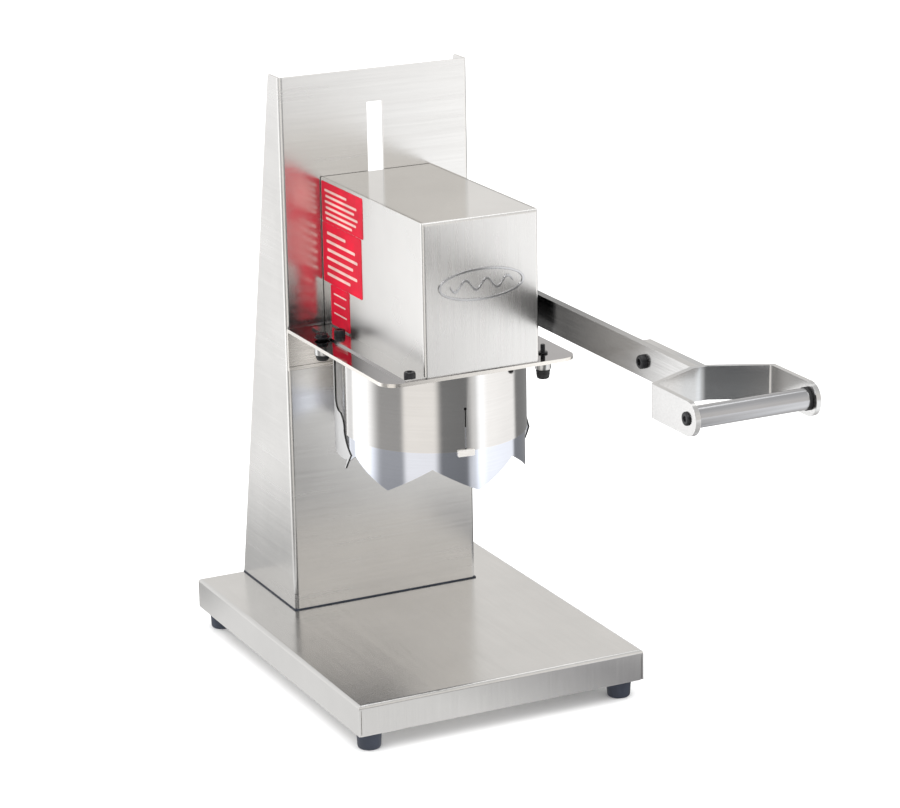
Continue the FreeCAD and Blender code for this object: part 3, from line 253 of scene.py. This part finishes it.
# Painted shade: the lever round its hub, the fork round its weld, and a painted dark reflection on the plate
# at its rear left corner.
LEVER_PAINTED_SHADE = ((BAR_HIGH.x, BAR_HIGH.y, BAR_MIDDLE_Z), 0.17, 0.33)
FORK_PAINTED_SHADE = ((BAR_HIGH.x + 0.008, BAR_LOW.y, BAR_MIDDLE_Z), 0.022, 0.042)
PLATE_PAINTED_REFLECTION = ((PLATE_LOW.x, PLATE_HIGH.y, PLATE_HIGH.z), 0.05, 0.075)
MATERIALS = {
    "pan": steel("pan_stainless", STAINLESS, 0.22, "yz"),
    "column": steel("column_stainless", (0.73, 0.72, 0.705), 0.24, "xy", line=0.06),
    "cover": steel("cover_stainless", (0.76, 0.75, 0.735), 0.27, "yz", spread=0.02, line=0.05, streak=0.08,
                   edge_gain=0.08, glance=0.15),
    "plate": painted_shade_steel("plate_mirror", (0.40, 0.39, 0.395), 0.07, "xy", (0.05, 0.045, 0.055), PLATE_PAINTED_REFLECTION,
                    (0.50, 0.49, 0.49), (0.77, 0.74, 0.70)),
    "sleeve": steel("sleeve_stainless", (0.70, 0.69, 0.68), 0.11, "round", spread=0.02, line=0.08),
    "knife": steel("knife_ground", (0.72, 0.75, 0.83), 0.11, "round", spread=0.02, line=0.08),
    "guide": guide_steel(),
    "lever": painted_shade_steel("lever_steel", (0.60, 0.595, 0.59), 0.20, "y", (0.13, 0.133, 0.138), LEVER_PAINTED_SHADE),
    "fork": painted_shade_steel("fork_steel", (0.62, 0.615, 0.61), 0.20, "x", (0.54, 0.55, 0.56), FORK_PAINTED_SHADE),
    "strap": steel("strap_steel", (0.93, 0.90, 0.86), 0.36, "z", metallic=0.6),
    "weld": steel("weld_bead", (0.40, 0.38, 0.36), 0.34, "round", spread=0.08, line=0.3, blotch=0.2),
    "grip": steel("grip_steel", (0.46, 0.46, 0.47), 0.16, "x"),
    "fixing": steel("fixing_steel", (0.60, 0.60, 0.60), 0.22, "x"),
    "machined": steel("machined_steel", (0.42, 0.42, 0.43), 0.34, "x", spread=0.08, blotch=0.12),
    "bronze": steel("bush_bronze", (0.60, 0.43, 0.24), 0.38, "x", blotch=0.15),
    "black": coated("black_oxide", (0.018, 0.018, 0.02), 0.34, Metallic=0.4),
    "rubber": coated("foot_rubber", (0.022, 0.028, 0.045), 0.55, wear=0.15, worn=(0.06, 0.07, 0.09)),
    "cap": coated("cap_rubber", (0.012, 0.012, 0.013), 0.5, wear=0.15, worn=(0.05, 0.05, 0.05)),
    "knob": coated("knob_plastic", (0.02, 0.02, 0.021), 0.42, grain=220.0, wear=0.1),
    "red": coated("label_red", (0.50, 0.004, 0.024), 0.42, relief=0.05, worn=(0.7, 0.3, 0.3), wear=0.1,
                  Specular_IOR_Level=0.12),
    "print": coated("label_print", (0.60, 0.40, 0.36), 0.5, relief=0.05, worn=(0.6, 0.4, 0.4), wear=0.2),
    "badge": steel("badge_steel", (0.60, 0.60, 0.61), 0.16, "x", edge_gain=-0.45),
}

NODE_MATERIAL = {
    "pan": ["base_pan", "foot_plates"],
    "column": ["column", "back_plate"],
    "cover": ["cover"],
    "plate": ["head_plate"],
    "sleeve": ["punch_sleeve"],
    "knife": ["crown_knife"],
    "guide": ["can_guide"],
    "lever": ["lever_bar", "lever_hub", "hub_washer", "hub_screw", "fork_nut"],
    "fork": ["handle_fork"],
    "strap": ["sleeve_strap"],
    "grip": ["grip_tube"],
    "fixing": ["ear_nuts", "clamp_washer", "column_bolts", "can_guide_screws", "foot_screws"],
    "machined": ["side_frame_right", "side_frame_left", "ram_rack", "ram_stop", "pinion",
                 "pinion_key", "pinion_shaft", "shaft_spacers", "shaft_clip", "ram_guide", "guide_keeper",
                 "knife_carrier", "clamp_bar", "clamp_stud", "slide_key", "frame_screws", "ear_studs",
                 "knife_screws", "carrier_bolt", "guide_bolts", "key_screws", "ram_stop_screw"],
    "bronze": ["bushing_right", "bushing_left", "knob_insert"],
    "black": ["cover_screws", "ear_lock_nut", "fork_bolt", "grip_screws"],
    "rubber": ["foot_front_left", "foot_front_right", "foot_rear_left", "foot_rear_right", "column_gasket"],
    "cap": ["ear_caps"],
    "knob": ["clamp_knob"],
    "red": ["side_labels"],
    "badge": ["front_badge"],
}


def finish_cad_nodes():
    """Puts a material on every node. The can guide stays out of reflections, which it would darken."""
    for key, names in NODE_MATERIAL.items():
        for name in names:
            mesh = NODES[name].data
            mesh.materials.clear()
            mesh.materials.append(MATERIALS[key])
    NODES["can_guide"].visible_glossy = False


# ---------------------------------------------------------------- mesh helpers
def middle(low, high):
    return (low + high) / 2


def measure(low, high):
    """Centre, half width and height of a box."""
    return middle(low, high), (high.x - low.x) / 2, high.z - low.z


def new_object(name, bm):
    """Closes the bmesh into a named, smooth-shaded object whose sharp edges stay sharp."""
    mesh = bpy.data.meshes.new(name)
    bmesh.ops.recalc_face_normals(bm, faces=bm.faces)
    for face in bm.faces:
        face.smooth = True
    bm.to_mesh(mesh)
    bm.free()
    if "custom_normal" in mesh.attributes:
        mesh.attributes.remove(mesh.attributes["custom_normal"])
    mesh.set_sharp_from_angle(angle=math.radians(32))
    thing = bpy.data.objects.new(name, mesh)
    bpy.context.scene.collection.objects.link(thing)
    return thing


def place(thing, material, body, slot, *nodes):
    """Gives a new piece its material, its body and the nodes it stands for; slot is not used."""
    thing.data.materials.append(MATERIALS[material])
    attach(thing, body)
    if nodes:
        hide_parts(*nodes)
    return thing


def frame_to(axis, centre):
    """Matrix whose local Z points along axis, at centre."""
    return Matrix.Translation(centre) @ Vector(axis).to_track_quat("Z", "Y").to_matrix().to_4x4()


def upright(at, height):
    """Matrix of a turned piece that stands at this height on the vertical line through at."""
    return frame_to((0, 0, 1), (at.x, at.y, height))


def loft(bm, rings, matrix=None, bored=False):
    """Joins rings of equal length with quads. The ends are capped, or joined to each other if bored."""
    rows = []
    for ring in rings:
        rows.append([bm.verts.new(matrix @ Vector(p) if matrix else Vector(p)) for p in ring])
    count = len(rows[0])
    follows = rows[1:] + rows[:1] if bored else rows[1:]
    for low, high in zip(rows, follows):
        for i in range(count):
            bm.faces.new((low[i], low[(i + 1) % count], high[(i + 1) % count], high[i]))
    if not bored:
        bm.faces.new(rows[0][::-1])
        bm.faces.new(rows[-1])


def outline(kind, radius, height, angle):
    """Radius of one point of a turned ring: plain, knurled, hexagonal or threaded."""
    if kind == "knurl":
        return radius * (0.985 + 0.015 * math.cos(angle * 24))
    if kind == "hex":
        return radius / math.cos(angle % (math.pi / 3) - math.pi / 6)
    if kind == "thread":
        turn = (height / THREAD_PITCH + angle / (2 * math.pi)) % 1.0
        return radius * (1.0 - 0.14 * abs(2 * turn - 1))
    return radius


def turned(bm, profile, matrix, sides=48, bored=False):
    """A turned solid from (radius, height, kind) stations; a bored one closes on itself as a ring."""
    rings = []
    for radius, height, *kind in profile:
        ring = []
        for i in range(sides):
            angle = 2 * math.pi * i / sides
            r = outline(kind[0] if kind else "", radius, height, angle)
            ring.append((r * math.cos(angle), r * math.sin(angle), height))
        rings.append(ring)
    loft(bm, rings, matrix, bored)


def thread(radius, low, high):
    """Stations of a helical thread between two heights."""
    count = max(2, round((high - low) / THREAD_PITCH * 5))
    return [(radius, low + (high - low) * i / count, "thread") for i in range(count + 1)]


def islands(node):
    """(lowest, highest) corner of each separate solid in a node, in a fixed order."""
    bm = bmesh.new()
    bm.from_mesh(NODES[node].data)
    bmesh.ops.remove_doubles(bm, verts=bm.verts, dist=1e-6)
    left = set(bm.verts)
    found = []
    while left:
        stack = [left.pop()]
        group = list(stack)
        while stack:
            for edge in stack.pop().link_edges:
                for vert in edge.verts:
                    if vert in left:
                        left.discard(vert)
                        stack.append(vert)
                        group.append(vert)
        low = Vector([min(v.co[i] for v in group) for i in range(3)])
        high = Vector([max(v.co[i] for v in group) for i in range(3)])
        found.append((low, high))
    bm.free()
    return sorted(found, key=lambda pair: tuple(round(c, 5) for c in pair[0]))


def softened(node, width, material, body, slot, corner=None):
    """A copy of a CAD node whose sharp edges carry a small real round; corner picks bends to refine."""
    bm = bmesh.new()
    bm.from_mesh(NODES[node].data)
    bmesh.ops.remove_doubles(bm, verts=bm.verts, dist=1e-6)
    bmesh.ops.dissolve_limit(bm, angle_limit=math.radians(0.5), verts=bm.verts, edges=bm.edges)
    if corner:
        bends = [edge for edge in bm.edges if len(edge.link_faces) == 2
                 and 0.1 < edge.calc_face_angle() < 0.75 and corner(middle(*(v.co for v in edge.verts)))]
        bmesh.ops.bevel(bm, geom=bends, offset=1.4 * MM, segments=2, profile=0.5, affect="EDGES",
                        clamp_overlap=True)
    thing = new_object(node + "_soft", bm)
    bevel = thing.modifiers.new("edge_round", "BEVEL")
    bevel.width = width
    bevel.segments = 3
    bevel.limit_method = "ANGLE"
    bevel.angle_limit = math.radians(42)
    bevel.harden_normals = True
    return place(thing, material, body, slot, node)


# ---------------------------------------------------------------- pieces
def socket_screw(bm, matrix, shank, length, head, tall, socket, dome=0.0, grip="knurl"):
    """Hexagon-socket screw: z = 0 is the head's underside, the shank runs down and the head up."""
    rim = head - dome
    body = [(shank * 0.85, -length), (shank, -length + 0.15 * shank), (shank, 0), (head * 0.96, 0),
            (head, 0.04 * head, grip), (head, tall * 0.72 - dome * 0.4, grip),
            (head * 0.97, tall * 0.76 - dome * 0.3), (head * 0.93, tall * 0.88 - dome * 0.15),
            ((head * 0.93 + rim * 0.86) / 2, tall * 0.96), (rim * 0.84, tall)]
    recess = [(socket * 1.22, tall), (socket * 1.16, tall * 0.99), (socket, tall * 0.95, "hex"),
              (socket, tall * 0.42, "hex"), (socket * 0.2, tall * 0.36)]
    turned(bm, body + recess, matrix)


def make_cover_screws():
    """Black socket screws with knurled heads on the cover's flanges."""
    bm = bmesh.new()
    head_tall = 5.0 * MM
    for low, high in islands("cover_screws"):
        at, wide, _ = measure(low, high)
        under = high.z - head_tall
        socket_screw(bm, upright(at, under), 2.5 * MM, under - low.z, wide, head_tall, 2.0 * MM)
    place(new_object("cover_screws_knurled", bm), "black", "head", "black_oxide", "cover_screws")


def make_lever_screws():
    """The bolt through the lever bar, and a dome-headed screw at each end of the grip."""
    bm = bmesh.new()
    low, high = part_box("fork_bolt")
    at, tall = middle(low, high), 4.2 * MM
    socket_screw(bm, frame_to((-1, 0, 0), (low.x + tall, at.y, at.z)), 3.0 * MM, high.x - low.x - tall,
                 (high.y - low.y) / 2, tall, 2.5 * MM, 1.0 * MM, "")
    place(new_object("fork_bolt_turned", bm), "black", "lever", "black_oxide", "fork_bolt")
    bm = bmesh.new()
    tall = 1.8 * MM
    for (low, high), side in zip(islands("grip_screws"), (-1, 1)):
        at = middle(low, high)
        seat = low.x + tall if side < 0 else high.x - tall
        socket_screw(bm, frame_to((side, 0, 0), (seat, at.y, at.z)), 2.95 * MM, high.x - low.x - tall,
                     (high.z - low.z) / 2, tall, 2.0 * MM, 0.8 * MM, "")
    place(new_object("grip_screws_domed", bm), "black", "lever", "black_oxide", "grip_screws")


def make_ear_studs():
    """Studs at the sleeve's two ears: a round foot, a flange on the plate and a threaded end."""
    bm = bmesh.new()
    for low, high in islands("ear_studs"):
        foot, top = low.z - PLATE_TOP, high.z - PLATE_TOP
        stations = [(2.6 * MM, foot), (3.0 * MM, foot + 0.4 * MM), (3.0 * MM, 0), (3.7 * MM, 0),
                    (3.9 * MM, 0.2 * MM), (3.9 * MM, 1.2 * MM), (3.7 * MM, 1.4 * MM), (2.1 * MM, 1.4 * MM),
                    *thread(2.0 * MM, 1.5 * MM, top - 0.5 * MM), (1.5 * MM, top)]
        turned(bm, stations, upright(middle(low, high), PLATE_TOP), 24)
    place(new_object("ear_studs_threaded", bm), "black", "head", "machined_steel", "ear_studs")


def make_ear_nuts():
    """Knurled round nuts that hold the sleeve up on its studs."""
    bm = bmesh.new()
    bore = 3.05 * MM
    for low, high in islands("ear_nuts"):
        at, wide, tall = measure(low, high)
        stations = [(bore, 0), (wide - 0.9 * MM, 0), (wide - 0.2 * MM, 0.5 * MM), (wide, 0.9 * MM, "knurl"),
                    (wide, tall - 0.9 * MM, "knurl"), (wide - 0.2 * MM, tall - 0.5 * MM),
                    (wide - 0.8 * MM, tall), (bore, tall)]
        turned(bm, stations, upright(at, low.z), 48, True)
    place(new_object("ear_nuts_knurled", bm), "fixing", "head", "bright_steel", "ear_nuts")


def make_ear_caps():
    """Rubber caps over the studs' feet, with one rib."""
    bm = bmesh.new()
    for low, high in islands("ear_caps"):
        at, wide, tall = measure(low, high)
        stations = [(wide * 0.45, 0), (wide * 0.68, 0.2 * MM), (wide * 0.82, 0.8 * MM),
                    (wide * 0.88, 1.8 * MM), (wide * 0.93, tall * 0.5), (wide * 0.95, tall * 0.62),
                    (wide * 0.90, tall * 0.66), (wide * 0.90, tall * 0.72), (wide * 0.97, tall * 0.77),
                    (wide, tall * 0.95), (wide * 0.97, tall), (wide * 0.4, tall)]
        turned(bm, stations, upright(at, low.z))
    place(new_object("ear_caps_ribbed", bm), "cap", "head", "rubber", "ear_caps")


def make_ear_lock_nut():
    """Hexagon nut with a washer face on the left ear's stud."""
    bm = bmesh.new()
    low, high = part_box("ear_lock_nut")
    flat = 4.5 * MM
    stations = [(2.05 * MM, 0), (6.1 * MM, 0), (6.3 * MM, 0.25 * MM), (6.2 * MM, 0.8 * MM),
                (5.0 * MM, 1.1 * MM), (flat, 1.15 * MM, "hex"), (flat, 2.7 * MM, "hex"),
                (flat * 1.02, 3.2 * MM), (flat * 0.9, 3.4 * MM), (2.4 * MM, 3.4 * MM), (2.05 * MM, 3.1 * MM)]
    turned(bm, stations, upright(middle(low, high), low.z), 48, True)
    place(new_object("ear_lock_nut_hex", bm), "black", "head", "black_oxide", "ear_lock_nut")


def make_feet():
    """Moulded rubber feet: a waisted side, a soft tread edge and a recess for the screw."""
    for name in ("foot_front_left", "foot_front_right", "foot_rear_left", "foot_rear_right"):
        low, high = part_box(name)
        at, wide, tall = measure(low, high)
        bm = bmesh.new()
        stations = [(wide * 0.30, tall * 0.45), (wide * 0.30, 0.6 * MM), (wide * 0.36, 0), (wide * 0.70, 0),
                    (wide * 0.80, 0.25 * MM), (wide * 0.87, 1.0 * MM), (wide * 0.90, 2.2 * MM),
                    (wide * 0.92, tall * 0.45), (wide * 0.95, tall * 0.70), (wide * 0.985, tall * 0.84),
                    (wide, tall * 0.90), (wide * 0.995, tall * 0.97), (wide * 0.97, tall),
                    (wide * 0.3, tall)]
        turned(bm, stations, upright(at, low.z), 64)
        place(new_object(name + "_moulded", bm), "rubber", "stand", "rubber", name)


def make_grip_washers():
    """Thin black washers where the grip's tube meets the fork's ears."""
    bm = bmesh.new()
    low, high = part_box("grip_tube")
    at = middle(low, high)
    wide = (high.z - low.z) / 2 + 0.5 * MM
    for x, side in ((low.x, 1), (high.x, -1)):
        turned(bm, [(3.1 * MM, 0.05 * MM), (wide - 0.3 * MM, 0.05 * MM), (wide, 0.4 * MM), (wide, 2.2 * MM),
                    (wide - 0.3 * MM, 2.5 * MM), (3.1 * MM, 2.5 * MM)],
               frame_to((side, 0, 0), (x, at.y, at.z)), 64, True)
    place(new_object("grip_washers", bm), "cap", "lever", "rubber")


def make_weld_beads():
    """Rippled beads down both sides of the lever's end, where the fork's strip meets the bar and the
    stem plate beside it, which is as thick as the bar."""
    thick = BAR_HIGH.x - BAR_LOW.x
    fork_low, fork_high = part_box("handle_fork")
    half = (fork_high.z - fork_low.z) / 2 - 1.2 * MM
    centre_z = middle(*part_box("grip_tube")).z
    bm = bmesh.new()
    steps = 64
    for x in (BAR_LOW.x + 0.6 * MM, BAR_HIGH.x + thick + 0.2 * MM):
        stations = []
        for i in range(steps + 1):
            part = 2 * i / steps - 1
            swell = 1.0 + 0.16 * math.cos(i * 2.1) + 0.05 * math.sin(i * 5.3)
            ends = min(1.0, 0.35 + 4.0 * (1 - abs(part)))
            stations.append((1.7 * MM * swell * ends, part * half))
        turned(bm, stations, frame_to((0, 0, 1), (x, BAR_LOW.y + 0.7 * MM, centre_z)), 16)
    place(new_object("fork_weld_beads", bm), "weld", "lever", "bright_steel")


def rounded_bar(bm, x, proud, y0, y1, z0, z1):
    """A flat pad with a rounded outline on a face that looks along -X; x is the face."""
    radius = min(abs(y1 - y0), abs(z1 - z0)) * 0.45
    ring = []
    for cy, cz, start in ((y1, z1, 0), (y0, z1, 90), (y0, z0, 180), (y1, z0, 270)):
        for step in range(5):
            angle = math.radians(start + step * 22.5)
            ry = cy + (radius if cy == y0 else -radius) + radius * math.cos(angle)
            rz = cz + (radius if cz == z0 else -radius) + radius * math.sin(angle)
            ring.append((ry, rz))
    loft(bm, [[(x + 0.05 * MM, y, z) for y, z in ring], [(x - proud, y, z) for y, z in ring]])


BAR_HEIGHTS = (2.0, 2.4, 1.3)
LABEL_ROWS = [
    [(0.80, 0.08, 0.62), (0.66, 0.10, 0.86), (0.52, 0.08, 0.80), (0.38, 0.10, 0.88), (0.24, 0.08, 0.84),
     (0.11, 0.10, 0.74)],
    [(0.84, 0.12, 0.60), (0.70, 0.10, 0.84), (0.56, 0.12, 0.90), (0.42, 0.10, 0.78), (0.28, 0.12, 0.88),
     (0.15, 0.10, 0.70)],
    [(0.80, 0.16, 0.84), (0.56, 0.16, 0.78), (0.32, 0.16, 0.84)],
]


def make_label_print():
    """Generic pale stripes in place of print; each row is (height, start, end) as a share of the label."""
    bm = bmesh.new()
    boxes = sorted(islands("side_labels"), key=lambda pair: -pair[0].z)
    for (low, high), rows, bar in zip(boxes, LABEL_ROWS, BAR_HEIGHTS):
        wide, tall = high.y - low.y, high.z - low.z
        for height, start, end in rows:
            z = low.z + tall * height
            rounded_bar(bm, low.x, 0.06 * MM, high.y - wide * end, high.y - wide * start,
                        z - bar * MM / 2, z + bar * MM / 2)
    place(new_object("label_stripes", bm), "print", "head", "red_label")


def make_clamp_stud():
    """The clamp's stud, threaded over its rear half."""
    low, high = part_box("clamp_stud")
    at, wide = middle(low, high), (high.x - low.x) / 2
    knob_low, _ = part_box("clamp_knob")
    bare = (knob_low.y - low.y) * 0.55
    long = high.y - low.y
    bm = bmesh.new()
    turned(bm, [(wide * 0.9, 0), (wide, 0.3 * MM), (wide, bare), (wide * 0.96, bare + 0.2 * MM),
                *thread(wide * 0.995, bare + 0.4 * MM, long - 0.9 * MM), (wide * 0.78, long)],
           frame_to((0, 1, 0), (at.x, low.y, at.z)), 32)
    place(new_object("clamp_stud_threaded", bm), "machined", "head", "machined_steel", "clamp_stud")


def make_pieces():
    make_cover_screws()
    make_lever_screws()
    make_ear_studs()
    make_ear_nuts()
    make_ear_caps()
    make_ear_lock_nut()
    make_feet()
    make_grip_washers()
    make_weld_beads()
    make_label_print()
    make_clamp_stud()
    front = PLATE_LOW.y + 20 * MM
    softened("head_plate", 0.5 * MM, "plate", "head", "stainless", lambda at: at.y < front)
    softened("lever_bar", 0.6 * MM, "lever", "lever", "bright_steel")
    softened("handle_fork", 0.5 * MM, "fork", "lever", "bright_steel")
    softened("front_badge", 0.35 * MM, "badge", "head", "badge")
    softened("clamp_knob", 0.8 * MM, "knob", "knob", "knob_plastic")
    softened("clamp_bar", 0.5 * MM, "machined", "head", "machined_steel")


# ---------------------------------------------------------------- studio
def heading(s, point, centre_y):
    """0 to 1 round the head's axis, from behind, past the left side, the front and the right side."""
    split = s.add("ShaderNodeSeparateXYZ")
    s.link(point, split, "Vector")
    ahead = s.math("SUBTRACT", centre_y, split.outputs["Y"])
    angle = s.math("ARCTAN2", split.outputs["X"], ahead)
    return s.math("ADD", s.math("DIVIDE", angle, 2 * math.pi), 0.5), split, ahead


def tone_ramp(s, factor, stops):
    """Grey levels, up to 2, at headings in degrees; 0 is straight ahead and 90 is to the right."""
    ramp = s.add("ShaderNodeValToRGB")
    ramp.color_ramp.interpolation = "EASE"
    points = ramp.color_ramp.elements
    while len(points) < len(stops):
        points.new(0.5)
    for point, (degrees, level, warmth) in zip(points, stops):
        point.position = degrees / 360 + 0.5
        point.color = (level / 2 * (1 + warmth), level / 2, level / 2 * (1 - 1.3 * warmth), 1)
    s.link(factor, ramp, "Fac")
    return ramp.outputs["Color"]


# (heading in degrees, grey level, warmth) of the floor's painted reflections and of the room's light, as the
# steel reflects them.
FLOOR_TONES = [(-180, 1.50, 0), (-170, 1.50, 0), (-161, 0.98, 0), (-150, 0.98, 0), (-144, 1.60, 0),
               (-120, 1.60, 0), (-94, 0.43, 0.01), (-69, 0.42, 0.01), (-61, 1.08, 0.03), (-28, 1.08, 0.03),
               (-17, 0.24, 0), (12, 0.22, 0), (20, 0.84, 0.01), (24, 0.92, 0), (27, 1.36, -0.01),
               (31, 1.58, -0.01), (42, 1.30, 0.01), (84, 1.20, 0.01), (93, 0.25, 0), (146, 0.30, 0),
               (168, 1.20, 0), (180, 1.50, 0)]
WALL_TONES = [(-180, 0.95, 0), (-140, 1.0, 0), (-106, 1.0, 0), (-84, 0.13, 0), (-28, 0.11, 0), (4, 0.13, 0),
              (22, 0.95, 0.03), (60, 1.05, 0), (110, 0.85, 0), (150, 0.84, 0.02), (180, 0.9, 0)]
# Distances from the head's axis over which the floor's reflected tone changes, in metres; under the head it
# is a painted shadow.
UNDER_HEAD, NEAR_CARDS, FAR_ROOM = (0.24, 0.34), (0.41, 0.66), (2.2, 3.4)
# Across this X range the painted shadow under the head darkens from left to right.
LEFT_TO_RIGHT = (-0.02, 0.13)


def add_floor():
    """White paper to the eye; to glossy rays it glows, so polished steel shows painted reflections of the
    cards and flags of a product studio.
    """
    s = Shader("floor_paper", Roughness=0.9)
    tone = s.noise(3.0, 3.0, 0.5)
    s.link(s.mix(s.remap(tone, 0, 1), (0.92, 0.92, 0.92), (0.95, 0.95, 0.95)), s.bsdf, "Base Color")
    factor, split, ahead = heading(s, s.place, HEAD_AXIS_Y)
    ring = tone_ramp(s, factor, FLOOR_TONES)
    flat = s.add("ShaderNodeCombineXYZ")
    s.link(split.outputs["X"], flat, "X")
    s.link(ahead, flat, "Y")
    length = s.add("ShaderNodeVectorMath", operation="LENGTH")
    s.link(flat.outputs["Vector"], length, 0)
    radius = length.outputs["Value"]
    across = s.remap(split.outputs["X"], 0, 1, *LEFT_TO_RIGHT)
    # Painted shadow of the object, as the steel reflects the floor near the head: lighter on the left,
    # darker on the right.
    painted_shadow_near_head = s.mix(across, (0.46, 0.46, 0.46), (0.18, 0.18, 0.185))
    nearer = s.add("ShaderNodeVectorMath", operation="SCALE")
    s.link(ring, nearer, 0)
    s.link(s.remap(radius, 0.58, 1.0, *NEAR_CARDS), nearer, "Scale")
    tones = s.mix(s.remap(radius, 0, 1, *UNDER_HEAD), painted_shadow_near_head, nearer.outputs["Vector"])
    tones = s.mix(s.remap(radius, 0, 1, *FAR_ROOM), tones, (0.60, 0.60, 0.605))
    # The floor glows for glossy rays only: painted reflections on the steel.
    painted_reflection_glow = s.add("ShaderNodeEmission")
    painted_reflection_glow.inputs["Strength"].default_value = 2.0
    s.link(tones, painted_reflection_glow, "Color")
    blend = s.add("ShaderNodeMixShader")
    rays = s.add("ShaderNodeLightPath")
    s.link(rays.outputs["Is Glossy Ray"], blend, 0)
    s.tree.links.new(s.bsdf.outputs["BSDF"], blend.inputs[1])
    s.tree.links.new(painted_reflection_glow.outputs["Emission"], blend.inputs[2])
    s.link(blend.outputs["Shader"], s.tree.nodes["Material Output"], "Surface")
    s.material.cycles.emission_sampling = "NONE"
    bm = bmesh.new()
    bmesh.ops.create_grid(bm, x_segments=2, y_segments=2, size=14.0)
    floor = new_object("floor", bm)
    floor.data.materials.append(s.material)


def add_light(name, at, target, side, power):
    """A square soft light that points at the target."""
    data = bpy.data.lights.new(name, "AREA")
    data.shape = "SQUARE"
    data.size = side
    data.energy = power
    light = bpy.data.objects.new(name, data)
    light.location = at
    light.rotation_euler = (Vector(target) - Vector(at)).to_track_quat("-Z", "Y").to_euler()
    bpy.context.scene.collection.objects.link(light)


class WorldShader(Shader):
    """The same helpers on the world's node tree, where a direction takes the place of a point."""

    def __init__(self, world):
        self.tree = world.node_tree
        self.background = self.tree.nodes["Background"]
        self.place = self.add("ShaderNodeTexCoord").outputs["Generated"]


def add_world():
    """White room: dark behind the camera at eye level, bright to the sides and above."""
    world = bpy.data.worlds.new("studio")
    bpy.context.scene.world = world
    world.use_nodes = True
    world.cycles.sampling_method = "NONE"
    s = WorldShader(world)
    factor, split, _ = heading(s, s.place, 0.0)
    wall = tone_ramp(s, factor, WALL_TONES)
    room = s.mix(s.remap(split.outputs["Z"], 0, 1, 0.42, 0.85), wall, (0.36, 0.36, 0.36))
    rays = s.add("ShaderNodeLightPath")
    room = s.mix(rays.outputs["Is Diffuse Ray"], room, (0.80, 0.80, 0.80))
    room = s.mix(rays.outputs["Is Camera Ray"], room, (0.52, 0.52, 0.52))
    s.link(room, s.background, "Color")
    s.background.inputs["Strength"].default_value = 2.0


CAMERA_AT = (-1.05196, -2.10235, 0.96994)
CAMERA_AZIMUTH, CAMERA_PITCH, CAMERA_ROLL = 0.4527, 0.2934, -0.0183
CAMERA_LENS = 126.7


def add_camera():
    """Long lens from the front left, a little above the head; the angles are in radians."""
    azimuth, pitch, roll = CAMERA_AZIMUTH, CAMERA_PITCH, CAMERA_ROLL
    forward = Vector((math.sin(azimuth) * math.cos(pitch), math.cos(azimuth) * math.cos(pitch),
                      -math.sin(pitch)))
    level = Vector((math.cos(azimuth), -math.sin(azimuth), 0.0))
    up = level.cross(forward)
    right = level * math.cos(roll) + up * math.sin(roll)
    up = up * math.cos(roll) - level * math.sin(roll)
    data = bpy.data.cameras.new("camera")
    data.sensor_width = 36.0
    data.lens = CAMERA_LENS
    camera = bpy.data.objects.new("camera", data)
    pose = Matrix((right, up, -forward)).transposed().to_4x4()
    pose.translation = CAMERA_AT
    camera.matrix_world = pose
    bpy.context.scene.collection.objects.link(camera)
    bpy.context.scene.camera = camera


finish_cad_nodes()
make_pieces()
add_floor()
add_world()
add_light("key", (-1.6, -1.4, 2.6), (0, 0, 0.25), 1.6, 25)
add_light("top", (0.2, 0.3, 3.0), (0, 0, 0.2), 2.4, 20)
add_camera()
bpy.context.scene.view_settings.view_transform = "Standard"

bpy.context.view_layer.update()
